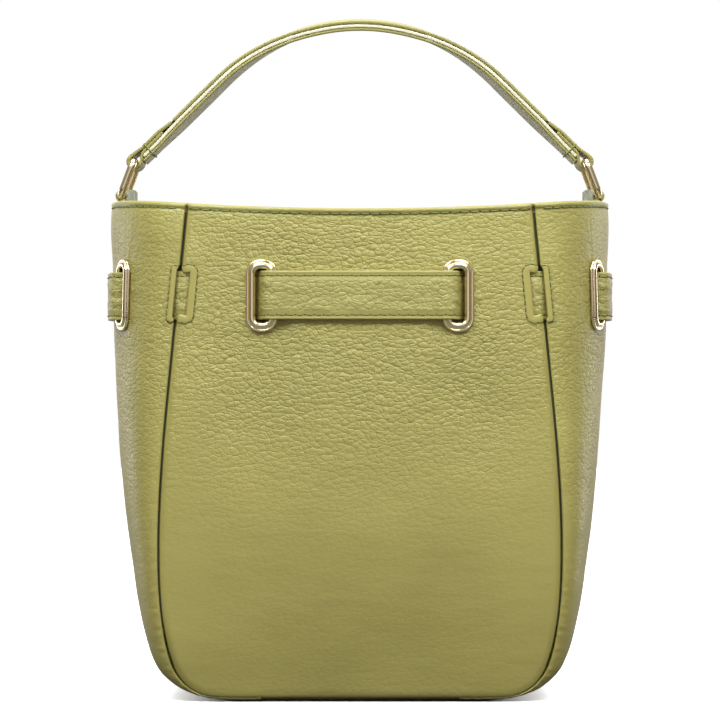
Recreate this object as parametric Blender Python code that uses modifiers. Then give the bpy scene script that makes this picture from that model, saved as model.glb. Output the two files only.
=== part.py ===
"""Small bucket handbag: leather body cinched by a belt, with one short top handle on two rings.

Frame: metres, +Z up, origin under the middle of the base, front towards -Y.
The body is four leather panels and a base board round a lining.  A belt runs round the body,
in and out through eight oval eyelets, and shows in a bound window over each of the four seams.
"""
import bmesh
import bpy
import numpy as np
from math import atan2, ceil, cos, pi, radians, sin, sqrt
from mathutils import Matrix, Vector

MM = 0.001

# Leather body.  Each pair of points is one station of the U-shaped outline, from the rim down
# to the middle of the base: the seam beside the front panel, then the outermost line of the gusset.
SEAM = [(70.2, 201.6), (72.5, 177.8), (76.2, 141.4), (80.0, 101), (81.7, 66.4), (80.8, 38),
        (77.0, 17.5), (72.0, 8.5), (64.5, 3.8), (54, 2.2), (40, 2.2)]
OUTER = [(104.0, 204.0), (103.4, 177.8), (102.2, 141.4), (99.2, 101), (95.3, 65.4), (90.3, 36),
         (85.0, 14.5), (78.5, 5.8), (68.5, 1.2), (56, 0), (40, 0)]
STATIONS_PER_SPAN = 2       # rows between one outline point and the next
PANEL_LAST_STATION = 9      # where the seam reaches the base
PANEL_COLUMNS, GUSSET_COLUMNS = 10, 12
# Half the depth, from the middle plane to a side seam, and how far the middle of a front panel
# stands out past its seams.
HALF_DEPTH_TOP, HALF_DEPTH_BELLY, HALF_DEPTH_BASE = 52.2, 54.0, 49.5
BELLY_Z = 60.0
CROWN, CROWN_FULL_Z = 6.0, 75.0
RIM_DIP = 2.3               # how far the rim sags in the middle of a front panel
RIM_DIP_START, RIM_DIP_HEIGHT = 121.0, 80.0     # heights over which the panel follows that sag
LEATHER = 1.5
SEAM_GAP = 0.9
CONTACT_GAP = 0.3
BASE_END = 40.0             # half-length of the base panel between the two gussets

FACING_INSET = 1.9
FACING = 1.5
FACING_DROP = 2.2           # from the rim's edge down to the facing's edge
FACING_BOTTOM = 186.0
FACING_TRIM = 3.0           # from a front facing's end to the seam
FACING_COLUMNS, FACING_ROWS_PER_SPAN = 9, 3
LINING_INSET = 5.6
LINING = 0.8
LINING_TOP = 186.0
LINING_TRIM = 1.5
LINING_COLUMNS, LINING_ROWS_PER_SPAN = 9, 1.2
BOARD_LENGTH, BOARD_WIDTH, BOARD = 104.0, 92.0, 2.4
BOARD_STAND = 0.5           # clear of the base panel
POCKET_WIDTH, POCKET_BOTTOM, POCKET_TOP = 96.0, 84.0, 152.0
POCKET_STAND = 0.5          # clear of the lining
SNAP_RADIUS, SNAP_HEIGHT, SNAP_Z = 6.0, 2.0, 192.5

# Belt and its hardware
BELT_Z = 164.8
BELT_WIDTH = 19.6
BELT = 1.8
BELT_OUT = 1.3              # middle of the strap, outside the leather
BELT_OVER = 3.4             # where it lies on an eyelet
BELT_IN = -3.2              # between leather and lining
BELT_UNDER = -4.2           # under an eyelet's washer
BELT_WINDOW = -2.3          # seen in a seam window
FRONT_EYELET_X = 39.5
SIDE_EYELET_Y = 34.7
HOLE_HALF_WIDTH, HOLE_HALF_HEIGHT, HOLE_CORNER = 2.6, 10.8, 1.9
BARREL, BARREL_DEPTH = 0.6, 2.3
# An eyelet's section from the hole's edge: (distance out, height off the leather)
EYELET_SECTION = [(0, -BARREL_DEPTH), (0, 1.0), (0.5, 1.9), (1.4, 1.9), (2.2, 1.3), (3.2, 1.3),
                  (3.6, 0.7), (3.3, CONTACT_GAP), (BARREL, CONTACT_GAP), (BARREL, -BARREL_DEPTH)]
WASHER_WIDTH, WASHER = 2.4, 0.7
WASHER_STAND_FRONT, WASHER_STAND_SIDE = 0.05, 0.5       # a gusset's wall is curved, so further off
WINDOW_X = 71.9
WINDOW_HALF_WIDTH, WINDOW_HALF_HEIGHT, WINDOW_CUT = 3.6, 10.4, 8.0
BINDING_WIDTH, BINDING_HALF_HEIGHT, BINDING, BINDING_CORNER = 2.7, 12.6, 0.9, 0.9
# The strap's path beside an eyelet and in a window: (travel, distance off the outer face)
EYELET_KEYS = [(-10.5, BELT_OUT), (-7.0, BELT_OVER), (-1.5, BELT_OVER),
               (1.5, BELT_UNDER), (6.0, BELT_UNDER), (10, BELT_IN)]
WINDOW_KEYS = [(-3.9, BELT_IN), (-1.9, BELT_WINDOW), (1.4, BELT_WINDOW), (3.3, BELT_IN)]
BELT_FILLET, BELT_STEP = 1.3, 7.0

BUCKLE_BAR_X = 9.0
BUCKLE_WIRE = 1.2           # radius
BUCKLE_OFFSET = 3.9         # middle of the frame, off the leather
BUCKLE_HALF_HEIGHT, BUCKLE_REACH, BUCKLE_CORNER = 12.4, 19.0, 2.5
PRONG_WIRE = 0.8
KEEPER_X, KEEPER_WIDTH, KEEPER, KEEPER_ROOM = 24.0, 5.0, 0.9, 0.5
KEEPER_LEVEL = 2.5          # middle of the folded end where the keeper holds it
# The folded end comes off the leather, turns round the bar and lies back on the strap; the travel
# is from the bar.
BAR_ROOM = 0.35             # between the bar and what goes round it
FOLD_FLAT, FOLD_LEAVES = -4.5, -9.0
FOLD_BACK = [(-4.5, BELT_OUT + BELT + 1.6), (-8.0, BELT_OUT + BELT + CONTACT_GAP),
             (-12.0, KEEPER_LEVEL), (-18.0, KEEPER_LEVEL)]
# The tail rises over the buckle, then drops on the folded end; the travel is from the back's middle.
TAIL_RISES = [16.0, 8.5]
TAIL_OVER = [-5.5, -11.5]
TAIL_ON_FOLD = [(-18.5, KEEPER_LEVEL + BELT + 1.0), (-24.0, KEEPER_LEVEL + BELT + 0.5),
                (-31.0, KEEPER_LEVEL + BELT + 0.5)]
SLOT_HALF_HEIGHT = 1.6
FOLD_SLOT_HALF, TAIL_SLOT_X, TAIL_SLOT_HALF = 2.6, -2.2, 5.3

# Handle, rings and tabs
RING_X, RING_Z = 99.3, 206.4        # lower bar of a ring
RING_HEIGHT = 15.1                  # between its two bars
RING_TILT = radians(20.5)           # leaning in towards the handle
RING_WIRE = 1.65                    # radius
RING_HALF_WIDTH = 13.15             # to the middle of the wire
RING_CORNER = 3.0
TAB_HALF_WIDTH = 8.0
TAB = 0.8
TAB_ROOM = 0.25                     # between a ring's bar and its tab
TAB_LEGS_X = RING_X - 1.0           # middle of a tab's two legs
TAB_FOOT_Z = 202.9
ANCHOR_DEPTH, ANCHOR_GAP = 10.0, 1.8
ANCHOR_INNER, ANCHOR_OUTER = 1.0, 0.8
HANDLE_TOP_Z = 281.2
HANDLE_RADIUS = 84.0
HANDLE_SPREAD = radians(44.5)       # half the angle of the handle's round part
HANDLE_HALF_WIDTH = 10.5
HANDLE_TOP, HANDLE_CORE, HANDLE_UNDER = 1.4, 1.4, 1.2
WRAP_START = 12.0                   # where the top strap leaves the core, before the ring's bar
WRAP_RETURN = 2.2                   # how far it turns back under the bar

LEATHER_GREEN = (0.39, 0.37, 0.13, 1)
EDGE_CREAM = (0.80, 0.70, 0.50, 1)
PALE_GOLD = (0.90, 0.78, 0.52, 1)
LINING_TAN = (0.55, 0.47, 0.33, 1)
BOARD_GREY = (0.45, 0.40, 0.33, 1)


def clear_scene():
    for item in list(bpy.data.objects):
        bpy.data.objects.remove(item, do_unlink=True)


def make_collection(name):
    collection = bpy.data.collections.new(name)
    bpy.context.scene.collection.children.link(collection)
    return collection


def material(name, colour, roughness, metallic=0.0):
    found = bpy.data.materials.get(name)
    if found:
        return found
    made = bpy.data.materials.new(name)
    made.use_nodes = True
    shader = made.node_tree.nodes["Principled BSDF"]
    shader.inputs["Base Color"].default_value = colour
    shader.inputs["Roughness"].default_value = roughness
    shader.inputs["Metallic"].default_value = metallic
    return made


def leather():
    return material("leather", LEATHER_GREEN, 0.5)


def metal():
    return material("pale_gold", PALE_GOLD, 0.15, 1.0)


def cloth():
    return material("lining_cloth", LINING_TAN, 0.9)


def link_mesh(name, mesh, surface, collection=None):
    made = bpy.data.objects.new(name, mesh)
    (collection or BAG).objects.link(made)
    made.data.materials.append(surface)
    return made


def mesh_object(name, points, faces, surface, smooth=True, collection=None):
    """A mesh from points in millimetres, with its faces turned outwards."""
    mesh = bpy.data.meshes.new(name)
    mesh.from_pydata([Vector(point) * MM for point in points], [], faces)
    work = bmesh.new()
    work.from_mesh(mesh)
    bmesh.ops.recalc_face_normals(work, faces=work.faces)
    work.to_mesh(mesh)
    work.free()
    if smooth:
        mesh.shade_smooth()
        mesh.set_sharp_from_angle(angle=radians(40))
    return link_mesh(name, mesh, surface, collection)


# ---- curves and outlines -------------------------------------------------

def spline(points, parameter):
    """A point on the smooth curve through the points; the parameter counts spans."""
    last = len(points) - 1
    span = min(int(parameter), last - 1)
    t = parameter - span
    a, b, c, d = (np.array(points[min(max(span + k, 0), last)], float) for k in (-1, 0, 1, 2))
    return 0.5 * (2 * b + (c - a) * t + (2 * a - 5 * b + 4 * c - d) * t ** 2
                  + (3 * b - a - 3 * c + d) * t ** 3)


def fade(value):
    """Rises smoothly from 0 at 0 to 1 at 1."""
    value = min(max(value, 0.0), 1.0)
    return value * value * (3 - 2 * value)


def rounded_rectangle(half_width, half_height, corner, steps=3):
    """Points round a rectangle with round corners, anticlockwise."""
    points = []
    for quarter, (sx, sy) in enumerate(((1, 1), (-1, 1), (-1, -1), (1, -1))):
        for step in range(steps + 1):
            angle = (quarter + step / steps) * pi / 2
            points.append((sx * (half_width - corner) + corner * cos(angle),
                           sy * (half_height - corner) + corner * sin(angle)))
    return points


def filleted(points, radius, steps=2):
    """An open path of (x, y) points with its corners rounded."""
    path = [np.array(points[0], float)]
    for before, corner, after in zip(points, points[1:], points[2:]):
        before, corner, after = (np.array(point, float) for point in (before, corner, after))
        room = min(np.linalg.norm(before - corner), np.linalg.norm(after - corner)) * 0.45
        start = corner + (before - corner) / np.linalg.norm(before - corner) * min(radius, room)
        end = corner + (after - corner) / np.linalg.norm(after - corner) * min(radius, room)
        for step in range(steps + 1):
            t = step / steps
            path.append((1 - t) ** 2 * start + 2 * t * (1 - t) * corner + t * t * end)
    path.append(np.array(points[-1], float))
    return path


# ---- the body's surfaces -------------------------------------------------

LAST_STATION = len(SEAM) - 1


def half_depth(z):
    if z < BELLY_Z:
        return HALF_DEPTH_BELLY - (HALF_DEPTH_BELLY - HALF_DEPTH_BASE) * (1 - z / BELLY_Z) ** 2
    rise = (z - BELLY_Z) / (OUTER[0][1] - BELLY_Z)
    return HALF_DEPTH_BELLY - (HALF_DEPTH_BELLY - HALF_DEPTH_TOP) * rise ** 2


def crown(z):
    return CROWN * fade(z / CROWN_FULL_Z)


def inward(curve, station, inset):
    """The outline moved in by inset, square to itself."""
    here = spline(curve, station)
    here[1] = max(here[1], 0.0)
    ahead = spline(curve, min(station + 0.05, LAST_STATION)) - spline(curve, max(station - 0.05, 0))
    ahead /= np.linalg.norm(ahead)
    return here + inset * np.array((ahead[1], -ahead[0]))


def station_at(z, inset=0.0):
    """The station whose seam point is at height z."""
    low, high = 0.0, float(LAST_STATION)
    for _ in range(40):
        middle = (low + high) / 2
        if inward(SEAM, middle, inset)[1] > z:
            low = middle
        else:
            high = middle
    return low


def panel_point(station, across, inset=0.0, trim=0.0, drop=0.0):
    """A point of the front panel's outer face; across runs from -1 to 1."""
    x, z = inward(SEAM, station, inset)
    x -= trim
    z -= RIM_DIP * fade((z - RIM_DIP_START) / RIM_DIP_HEIGHT) * (1 - across ** 2) + drop
    y = half_depth(z) - inset + crown(z) * (1 - across ** 2)
    return (x * across, -y, z)


def gusset_point(station, along, inset=0.0, start_gap=SEAM_GAP, drop=0.0):
    """A point of the right gusset's outer face; along runs from the front seam, 0, to the back, 1."""
    seam = inward(SEAM, station, inset)
    outer = inward(OUTER, station, inset)
    width = np.linalg.norm(outer - seam)
    start = start_gap / max(width, start_gap)
    under = fade((station - 6) / 2.5)
    seam = seam + (outer - seam) * (start + (1 - start) * under)
    depth = half_depth(seam[1]) - inset
    corner = depth * (1 - 0.85 * fade(station / 8))
    y = -depth * cos(pi * along)
    reach = max(0.0, abs(y) - (depth - corner)) / corner
    x, z = seam + (outer - seam) * sqrt(max(0.0, 1 - min(reach, 1.0) ** 2))
    return (x, y, z - drop)


def grid_object(name, grid, surface, thickness, flip=False):
    """An open sheet through a grid of points, thickened behind its outer face."""
    rows, columns = len(grid), len(grid[0])
    points = [point for row in grid for point in row]
    faces = []
    for row in range(rows - 1):
        for column in range(columns - 1):
            corner = row * columns + column
            face = (corner, corner + columns, corner + columns + 1, corner + 1)
            faces.append(face[::-1] if flip else face)
    mesh = bpy.data.meshes.new(name)
    mesh.from_pydata([Vector(point) * MM for point in points], [], faces)
    mesh.shade_smooth()
    made = link_mesh(name, mesh, surface)
    solid = made.modifiers.new("thickness", "SOLIDIFY")
    solid.thickness = thickness * MM
    solid.offset = -1
    return made


def turned(point, side_x=1, side_y=1):
    return (point[0] * side_x, point[1] * side_y, point[2])


def stations(first=0.0, last=float(LAST_STATION), per_span=STATIONS_PER_SPAN):
    count = max(1, ceil((last - first) * per_span))
    return [first + (last - first) * step / count for step in range(count + 1)]


def front_sheet(name, side, rows, columns, surface, thickness, **shape):
    """A sheet of the front (side 1) or back (side -1)."""
    grid = [[turned(panel_point(row, -1 + 2 * column / columns, **shape), 1, side)
             for column in range(columns + 1)] for row in rows]
    return grid_object(name, grid, surface, thickness, flip=side < 0)


def gusset_sheet(name, side, rows, columns, surface, thickness, **shape):
    """A sheet of the right (side 1) or left (side -1) gusset."""
    grid = [[turned(gusset_point(row, column / columns, **shape), side, 1)
             for column in range(columns + 1)] for row in rows]
    return grid_object(name, grid, surface, thickness, flip=side < 0)


# ---- the belt's level, seen from above -----------------------------------

PLAN_FRONT_STEPS = 24       # points from the middle of the front to the seam, and on to the side
PLAN_SIDE_STEPS = 24


def plan_outline():
    """The body's outer face at the belt, from the front's middle to the right side's middle."""
    row = station_at(BELT_Z)
    front = [panel_point(row, step / PLAN_FRONT_STEPS)[:2] for step in range(PLAN_FRONT_STEPS + 1)]
    side = [gusset_point(row, step / PLAN_SIDE_STEPS / 2, start_gap=0.0)[:2]
            for step in range(1, PLAN_SIDE_STEPS + 1)]
    return np.array(front + side)


def plan_lengths(outline):
    steps = np.linalg.norm(np.diff(outline, axis=0), axis=1)
    return np.concatenate(([0.0], np.cumsum(steps)))


def plan_frame(travel):
    """Point and outward direction at a distance round the right half, from the front's middle."""
    quarter = PLAN_LENGTHS[-1]
    back = travel > quarter
    distance = 2 * quarter - travel if back else travel
    mirror = -1 if distance < 0 else 1
    ends = [min(max(abs(distance) + shift, 0.0), quarter) for shift in (-0.6, 0.0, 0.6)]
    start, middle, end = (np.array([np.interp(at, PLAN_LENGTHS, PLAN[:, axis]) for axis in (0, 1)])
                          for at in ends)
    tangent = (end - start) / np.linalg.norm(end - start)
    outward = np.array((tangent[1] * -1, tangent[0])) * -1
    flip = np.array((mirror, -1 if back else 1))
    return middle * flip, outward * flip


def plan_position(travel, offset):
    """A point off the outer face at the belt's level; the travel goes once round the bag."""
    quarter = PLAN_LENGTHS[-1]
    travel = (travel + 2 * quarter) % (4 * quarter) - 2 * quarter
    side = -1 if travel < 0 else 1
    point, outward = plan_frame(abs(travel))
    place = point + offset * outward
    return (place[0] * side, place[1])


def travel_to_side_eyelet():
    for travel in np.arange(PLAN_LENGTHS[PLAN_FRONT_STEPS], PLAN_LENGTHS[-1], 0.05):
        if plan_frame(travel)[0][1] > -SIDE_EYELET_Y:
            return travel
    raise ValueError("the side eyelet is off the gusset")


# ---- pieces of the body --------------------------------------------------

def cutter_block(name, half_x, half_y, half_z, centre):
    bpy.ops.mesh.primitive_cube_add(size=2)
    made = bpy.context.object
    made.name = name
    made.data.transform(Matrix.Diagonal((half_x * MM, half_y * MM, half_z * MM, 1)))
    made.location = Vector(centre) * MM
    return hide_cutter(made)


def hide_cutter(made):
    for owner in list(made.users_collection):
        owner.objects.unlink(made)
    CUTTERS.objects.link(made)
    made.hide_render = True
    made.display_type = "WIRE"
    return made


def prism(name, outline, low, high, surface, collection=None):
    """An outline in x and z, extruded from y = low to y = high."""
    count = len(outline)
    points = [(x, level, z) for level in (low, high) for x, z in outline]
    faces = [tuple(range(count)), tuple(range(2 * count - 1, count - 1, -1))]
    faces += [(k, (k + 1) % count, (k + 1) % count + count, k + count) for k in range(count)]
    return mesh_object(name, points, faces, surface, smooth=False, collection=collection)


def cut(target, cutter):
    boolean = target.modifiers.new("cut", "BOOLEAN")
    boolean.operation = "DIFFERENCE"
    boolean.solver = "EXACT"
    boolean.object = cutter


def wall_tilt(travel, reach=10.0):
    """How far the outer face leans back there, as an angle: the wall isn't quite upright."""
    quarter = PLAN_LENGTHS[-1]
    distance = abs(travel)
    distance = min(distance, 2 * quarter - distance)
    index = float(np.interp(distance, PLAN_LENGTHS, range(len(PLAN))))
    ends = []
    for z in (BELT_Z - reach, BELT_Z + reach):
        if index <= PLAN_FRONT_STEPS:
            point = panel_point(station_at(z), index / PLAN_FRONT_STEPS)
        else:
            along = (index - PLAN_FRONT_STEPS) / PLAN_SIDE_STEPS / 2
            point = gusset_point(station_at(z), along, start_gap=0.0)
        ends.append(np.dot(point[:2], plan_frame(distance)[1]))
    return atan2(ends[0] - ends[1], 2 * reach)


def place_on_plan(made, travel):
    """Stands a piece that faces -Y on the outer face at the belt's level."""
    place = plan_position(travel, 0)
    ahead = plan_position(travel, 1)
    made.location = Vector((place[0], place[1], BELT_Z)) * MM
    turn = atan2(ahead[0] - place[0], -(ahead[1] - place[1]))
    made.rotation_euler = (-wall_tilt(travel), 0, turn)


def eyelet_travels():
    """Name and distance round the bag of each eyelet."""
    half = 2 * PLAN_LENGTHS[-1]
    front = FRONT_EYELET_TRAVEL
    side = SIDE_EYELET_TRAVEL
    return {"front_right": front, "side_right_front": side, "side_right_back": half - side,
            "back_right": half - front, "front_left": -front, "side_left_front": -side,
            "side_left_back": side - half, "back_left": front - half}


def swept_ring(name, loops, surface):
    """A closed ring from outlines of equal length, joined one to the next and round again."""
    count, rings = len(loops[0]), len(loops)
    points = [point for loop in loops for point in loop]
    faces = []
    for ring in range(rings):
        for k in range(count):
            after, around = (ring + 1) % rings, (k + 1) % count
            faces.append((ring * count + k, ring * count + around,
                          after * count + around, after * count + k))
    return mesh_object(name, points, faces, surface)


def eyelet_loops(profile):
    """Outlines for a profile of (distance out from the hole's edge, height off the leather)."""
    loops = []
    for out, height in profile:
        outline = rounded_rectangle(HOLE_HALF_WIDTH + out, HOLE_HALF_HEIGHT + out,
                                    HOLE_CORNER + out)
        loops.append([(x, -height, z) for x, z in outline])
    return loops


def make_eyelet(where, travel):
    ring = swept_ring("eyelet_" + where, eyelet_loops(EYELET_SECTION), metal())
    place_on_plan(ring, travel)
    stand = WASHER_STAND_SIDE if where.startswith("side") else WASHER_STAND_FRONT
    near = -(LEATHER + CONTACT_GAP + stand)
    out = BARREL + CONTACT_GAP
    section = [(out, near), (out + WASHER_WIDTH, near), (out + WASHER_WIDTH, near - WASHER),
               (out, near - WASHER)]
    washer = swept_ring("washer_" + where, eyelet_loops(section), metal())
    place_on_plan(washer, travel)


def cut_eyelet_hole(panel, where, travel):
    spare = BARREL + CONTACT_GAP
    outline = rounded_rectangle(HOLE_HALF_WIDTH + spare, HOLE_HALF_HEIGHT + spare,
                                HOLE_CORNER + spare)
    reach = 4 * LEATHER
    cutter = prism("cutter_" + where, outline, -reach, reach, metal(), CUTTERS)
    place_on_plan(cutter, travel)
    hide_cutter(cutter)
    cut(panel, cutter)


def make_body():
    panels = {}
    for side, name in ((1, "front"), (-1, "back")):
        panels[name] = front_sheet(name + "_panel", side, stations(0, PANEL_LAST_STATION),
                                   PANEL_COLUMNS, leather(), LEATHER)
    for side, name in ((1, "right"), (-1, "left")):
        panels[name] = gusset_sheet("gusset_" + name, side, stations(), GUSSET_COLUMNS,
                                    leather(), LEATHER)
    for where, travel in eyelet_travels().items():
        make_eyelet(where, travel)
        panel = panels[where.split("_")[1] if where.startswith("side") else where.split("_")[0]]
        cut_eyelet_hole(panel, where, travel)
    for side_x, right in ((1, "right"), (-1, "left")):
        for side_y, front in ((-1, "front"), (1, "back")):
            centre = (side_x * WINDOW_X, side_y * half_depth(BELT_Z), BELT_Z)
            window = cutter_block("cutter_window_%s_%s" % (front, right), WINDOW_HALF_WIDTH,
                                  WINDOW_CUT, WINDOW_HALF_HEIGHT, centre)
            cut(panels[front], window)
            cut(panels[right], window)


def make_base():
    depth = HALF_DEPTH_BASE
    half = BASE_END - CONTACT_GAP
    outline = [(-half, 0), (half, 0), (half, LEATHER), (-half, LEATHER)]
    prism("base_panel", outline, -depth, depth, leather())
    low = LEATHER + BOARD_STAND
    half = BOARD_LENGTH / 2
    board = [(-half, low), (half, low), (half, low + BOARD), (-half, low + BOARD)]
    prism("base_board", board, -BOARD_WIDTH / 2, BOARD_WIDTH / 2,
          material("board", BOARD_GREY, 0.8))


def make_facings():
    rows = stations(0, station_at(FACING_BOTTOM, FACING_INSET), FACING_ROWS_PER_SPAN)
    for side, name in ((1, "front"), (-1, "back")):
        front_sheet("rim_facing_" + name, side, rows, FACING_COLUMNS, leather(), FACING,
                    inset=FACING_INSET, trim=FACING_TRIM, drop=FACING_DROP)
    for side, name in ((1, "right"), (-1, "left")):
        gusset_sheet("rim_facing_" + name, side, rows, FACING_COLUMNS, leather(), FACING,
                     inset=FACING_INSET, start_gap=2.0, drop=FACING_DROP)


def make_lining():
    first = station_at(LINING_TOP, LINING_INSET)
    front_rows = stations(first, PANEL_LAST_STATION, LINING_ROWS_PER_SPAN)
    for side, name in ((1, "front"), (-1, "back")):
        front_sheet("lining_" + name, side, front_rows, LINING_COLUMNS, cloth(), LINING,
                    inset=LINING_INSET, trim=LINING_TRIM)
    rows = stations(first, LAST_STATION, LINING_ROWS_PER_SPAN)
    right = [[gusset_point(row, column / LINING_COLUMNS, inset=LINING_INSET)
              for column in range(LINING_COLUMNS + 1)] for row in rows]
    left = [[turned(point, -1) for point in row] for row in reversed(right)]
    grid_object("lining_gusset", right + left, cloth(), LINING)


def make_pocket(rows=6, columns=9):
    """A flat patch pocket on the back lining."""
    stand = LINING_INSET + LINING + POCKET_STAND
    grid = []
    for z in np.linspace(POCKET_BOTTOM, POCKET_TOP, rows):
        reach = inward(SEAM, station_at(z, LINING_INSET), LINING_INSET)[0]
        grid.append([(x, half_depth(z) + crown(z) * (1 - (x / reach) ** 2) - stand, z)
                     for x in np.linspace(-POCKET_WIDTH / 2, POCKET_WIDTH / 2, columns)])
    grid_object("slip_pocket", grid, cloth(), LINING)


def make_snaps():
    face = half_depth(SNAP_Z) + crown(SNAP_Z) - FACING_INSET - FACING - CONTACT_GAP
    for name, side in (("snap_socket_front", -1), ("snap_stud_back", 1)):
        bpy.ops.mesh.primitive_cylinder_add(vertices=20, radius=SNAP_RADIUS * MM,
                                            depth=SNAP_HEIGHT * MM)
        made = bpy.context.object
        made.name = name
        made.rotation_euler = (pi / 2, 0, 0)
        made.location = (0, side * (face - SNAP_HEIGHT / 2 - 0.3) * MM, SNAP_Z * MM)
        made.data.materials.append(metal())
        for owner in list(made.users_collection):
            owner.objects.unlink(made)
        BAG.objects.link(made)


def make_bindings():
    """A bound leather edge on each side of each seam window."""
    half = 2 * PLAN_LENGTHS[-1]
    beside = WINDOW_HALF_WIDTH + BINDING_WIDTH / 2
    for piece, x in (("panel", WINDOW_X - beside), ("gusset", WINDOW_X + beside)):
        travel = float(np.interp(x, PLAN[:, 0], PLAN_LENGTHS))
        for where, at in (("front_right", travel), ("back_right", half - travel),
                          ("front_left", -travel), ("back_left", travel - half)):
            outline = rounded_rectangle(BINDING_WIDTH / 2, BINDING_HALF_HEIGHT, BINDING_CORNER, 2)
            strip = prism("binding_%s_%s" % (piece, where), outline,
                          -CONTACT_GAP - BINDING, -CONTACT_GAP, leather())
            place_on_plan(strip, at)


# ---- belt ----------------------------------------------------------------

def eyelet_keys(at, heading):
    """The strap's way in through an eyelet; heading is 1 where it goes in as the travel grows."""
    return [(at + heading * along, offset) for along, offset in EYELET_KEYS][::heading]


def window_keys(at):
    return [(at + along, offset) for along, offset in WINDOW_KEYS]


def belt_keys():
    """Corners of the strap's path as (travel, offset), from the back's left eyelet to its right."""
    half = 2 * PLAN_LENGTHS[-1]
    quarter = (eyelet_keys(FRONT_EYELET_TRAVEL, 1) + window_keys(WINDOW_TRAVEL)
               + eyelet_keys(SIDE_EYELET_TRAVEL, -1))
    right = quarter + [(half - at, offset) for at, offset in quarter[::-1]]
    return [(-at, offset) for at, offset in right[::-1]] + right


def fold_round_bar():
    """The strap's end folded round the buckle's bar, as (travel from the back's middle, offset)."""
    radius = BUCKLE_WIRE + BAR_ROOM + BELT / 2
    turn = [(radius * cos(angle), BUCKLE_OFFSET + radius * sin(angle))
            for angle in np.linspace(-pi / 2, pi / 2, 9)]
    path = [(FOLD_LEAVES, BELT_OUT), (FOLD_FLAT, BELT_OUT)] + turn + FOLD_BACK
    return [(along - BUCKLE_BAR_X, offset) for along, offset in path]


def tail_over_buckle():
    over = BUCKLE_OFFSET + BUCKLE_WIRE + 2 * BAR_ROOM + 1.5 * BELT
    return ([(along, BELT_OUT) for along in TAIL_RISES] + [(along, over) for along in TAIL_OVER]
            + TAIL_ON_FOLD)


def strap_faces(count):
    """Faces of a strap made of four-cornered sections, with its two ends."""
    faces = []
    for base in range(0, (count - 1) * 4, 4):
        for k in range(4):
            after = (k + 1) % 4
            faces.append((base + k, base + after, base + 4 + after, base + 4 + k))
    end = (count - 1) * 4
    return faces + [(0, 1, 2, 3), (end + 3, end + 2, end + 1, end)]


def make_ribbon(name, path, surface):
    """An upright strap along a plan path of (x, y) points."""
    path = np.array(path)
    tangent = np.gradient(path, axis=0)
    tangent /= np.linalg.norm(tangent, axis=1)[:, None]
    across = np.stack((-tangent[:, 1], tangent[:, 0]), axis=1)
    sections = []
    for centre, side in zip(path, across):
        for reach, z in ((-1, -1), (1, -1), (1, 1), (-1, 1)):
            place = centre + side * reach * BELT / 2
            sections.append((place[0], place[1], BELT_Z + z * BELT_WIDTH / 2))
    return mesh_object(name, sections, strap_faces(len(path)), surface)


def densify(keys):
    """The rounded path with no stretch longer than a step, so that it follows the body."""
    path = filleted(keys, BELT_FILLET)
    dense = [path[0]]
    for point in path[1:]:
        count = max(1, ceil(np.linalg.norm(point - dense[-1]) / BELT_STEP))
        start = dense[-1]
        dense += [start + (point - start) * k / count for k in range(1, count + 1)]
    return [point for k, point in enumerate(dense)
            if k == 0 or np.linalg.norm(point - dense[k - 1]) > 0.05]


def make_belt():
    """The strap goes from its fold at the back, by the left side and the front, to its tail."""
    half = 2 * PLAN_LENGTHS[-1]
    keys = [(-half - at, offset) for at, offset in fold_round_bar()]
    keys += belt_keys()
    keys += [(half - at, offset) for at, offset in tail_over_buckle()]
    path = [plan_position(at, offset) for at, offset in densify(keys)]
    belt = make_ribbon("belt_strap", path, leather())
    for name, x, half_x, y_low, y_high in belt_slots():
        outline = [(x + half_x * a, SLOT_HALF_HEIGHT * b)
                   for a, b in ((-1, -1), (1, -1), (1, 1), (-1, 1))]
        slot = prism(name, outline, y_low, y_high, metal(), CUTTERS)
        slot.location.z = BELT_Z * MM
        hide_cutter(slot)
        cut(belt, slot)


def belt_slots():
    """Slots for the prong, one in the fold round the bar and one through the tail: x and y reach."""
    bar = buckle_face()
    fold = 2 * BELT
    return [("cutter_fold_slot", -BUCKLE_BAR_X + BUCKLE_WIRE, FOLD_SLOT_HALF, bar - fold, bar + 3.3),
            ("cutter_tail_slot", TAIL_SLOT_X, TAIL_SLOT_HALF, bar - 0.9, bar + 8.1)]


def wire(name, points, radius, surface, cyclic):
    curve = bpy.data.curves.new(name, "CURVE")
    curve.dimensions = "3D"
    curve.bevel_depth = radius * MM
    curve.bevel_resolution = 2
    curve.use_fill_caps = True
    line = curve.splines.new("POLY")
    line.points.add(len(points) - 1)
    for slot, point in zip(line.points, points):
        slot.co = (*(Vector(point) * MM), 1)
    line.use_cyclic_u = cyclic
    made = bpy.data.objects.new(name, curve)
    BAG.objects.link(made)
    curve.materials.append(surface)
    return made


def buckle_face():
    return half_depth(BELT_Z) + crown(BELT_Z) + BUCKLE_OFFSET


def make_buckle():
    """A bar buckle behind the back panel; its frame and prong turn on the same upright bar."""
    hub = bpy.data.objects.new("buckle_pivot", None)
    BAG.objects.link(hub)
    hub.location = Vector((-BUCKLE_BAR_X, buckle_face(), BELT_Z)) * MM
    half = BUCKLE_REACH / 2
    outline = rounded_rectangle(half, BUCKLE_HALF_HEIGHT, BUCKLE_CORNER, 3)
    frame = wire("buckle_frame", [(x + half, 0, z) for x, z in outline], BUCKLE_WIRE, metal(), True)
    frame.parent = hub
    loop = BUCKLE_WIRE + BAR_ROOM + PRONG_WIRE
    turn = [(loop * cos(a), loop * sin(a), 0) for a in np.linspace(radians(-100), radians(60), 7)]
    arm = [(loop + PRONG_WIRE, loop + 0.05, 0), (BUCKLE_REACH + 1.4, loop + 0.05, 0)]
    prong = wire("buckle_prong", turn + arm, PRONG_WIRE, metal(), False)
    prong.parent = hub


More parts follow.
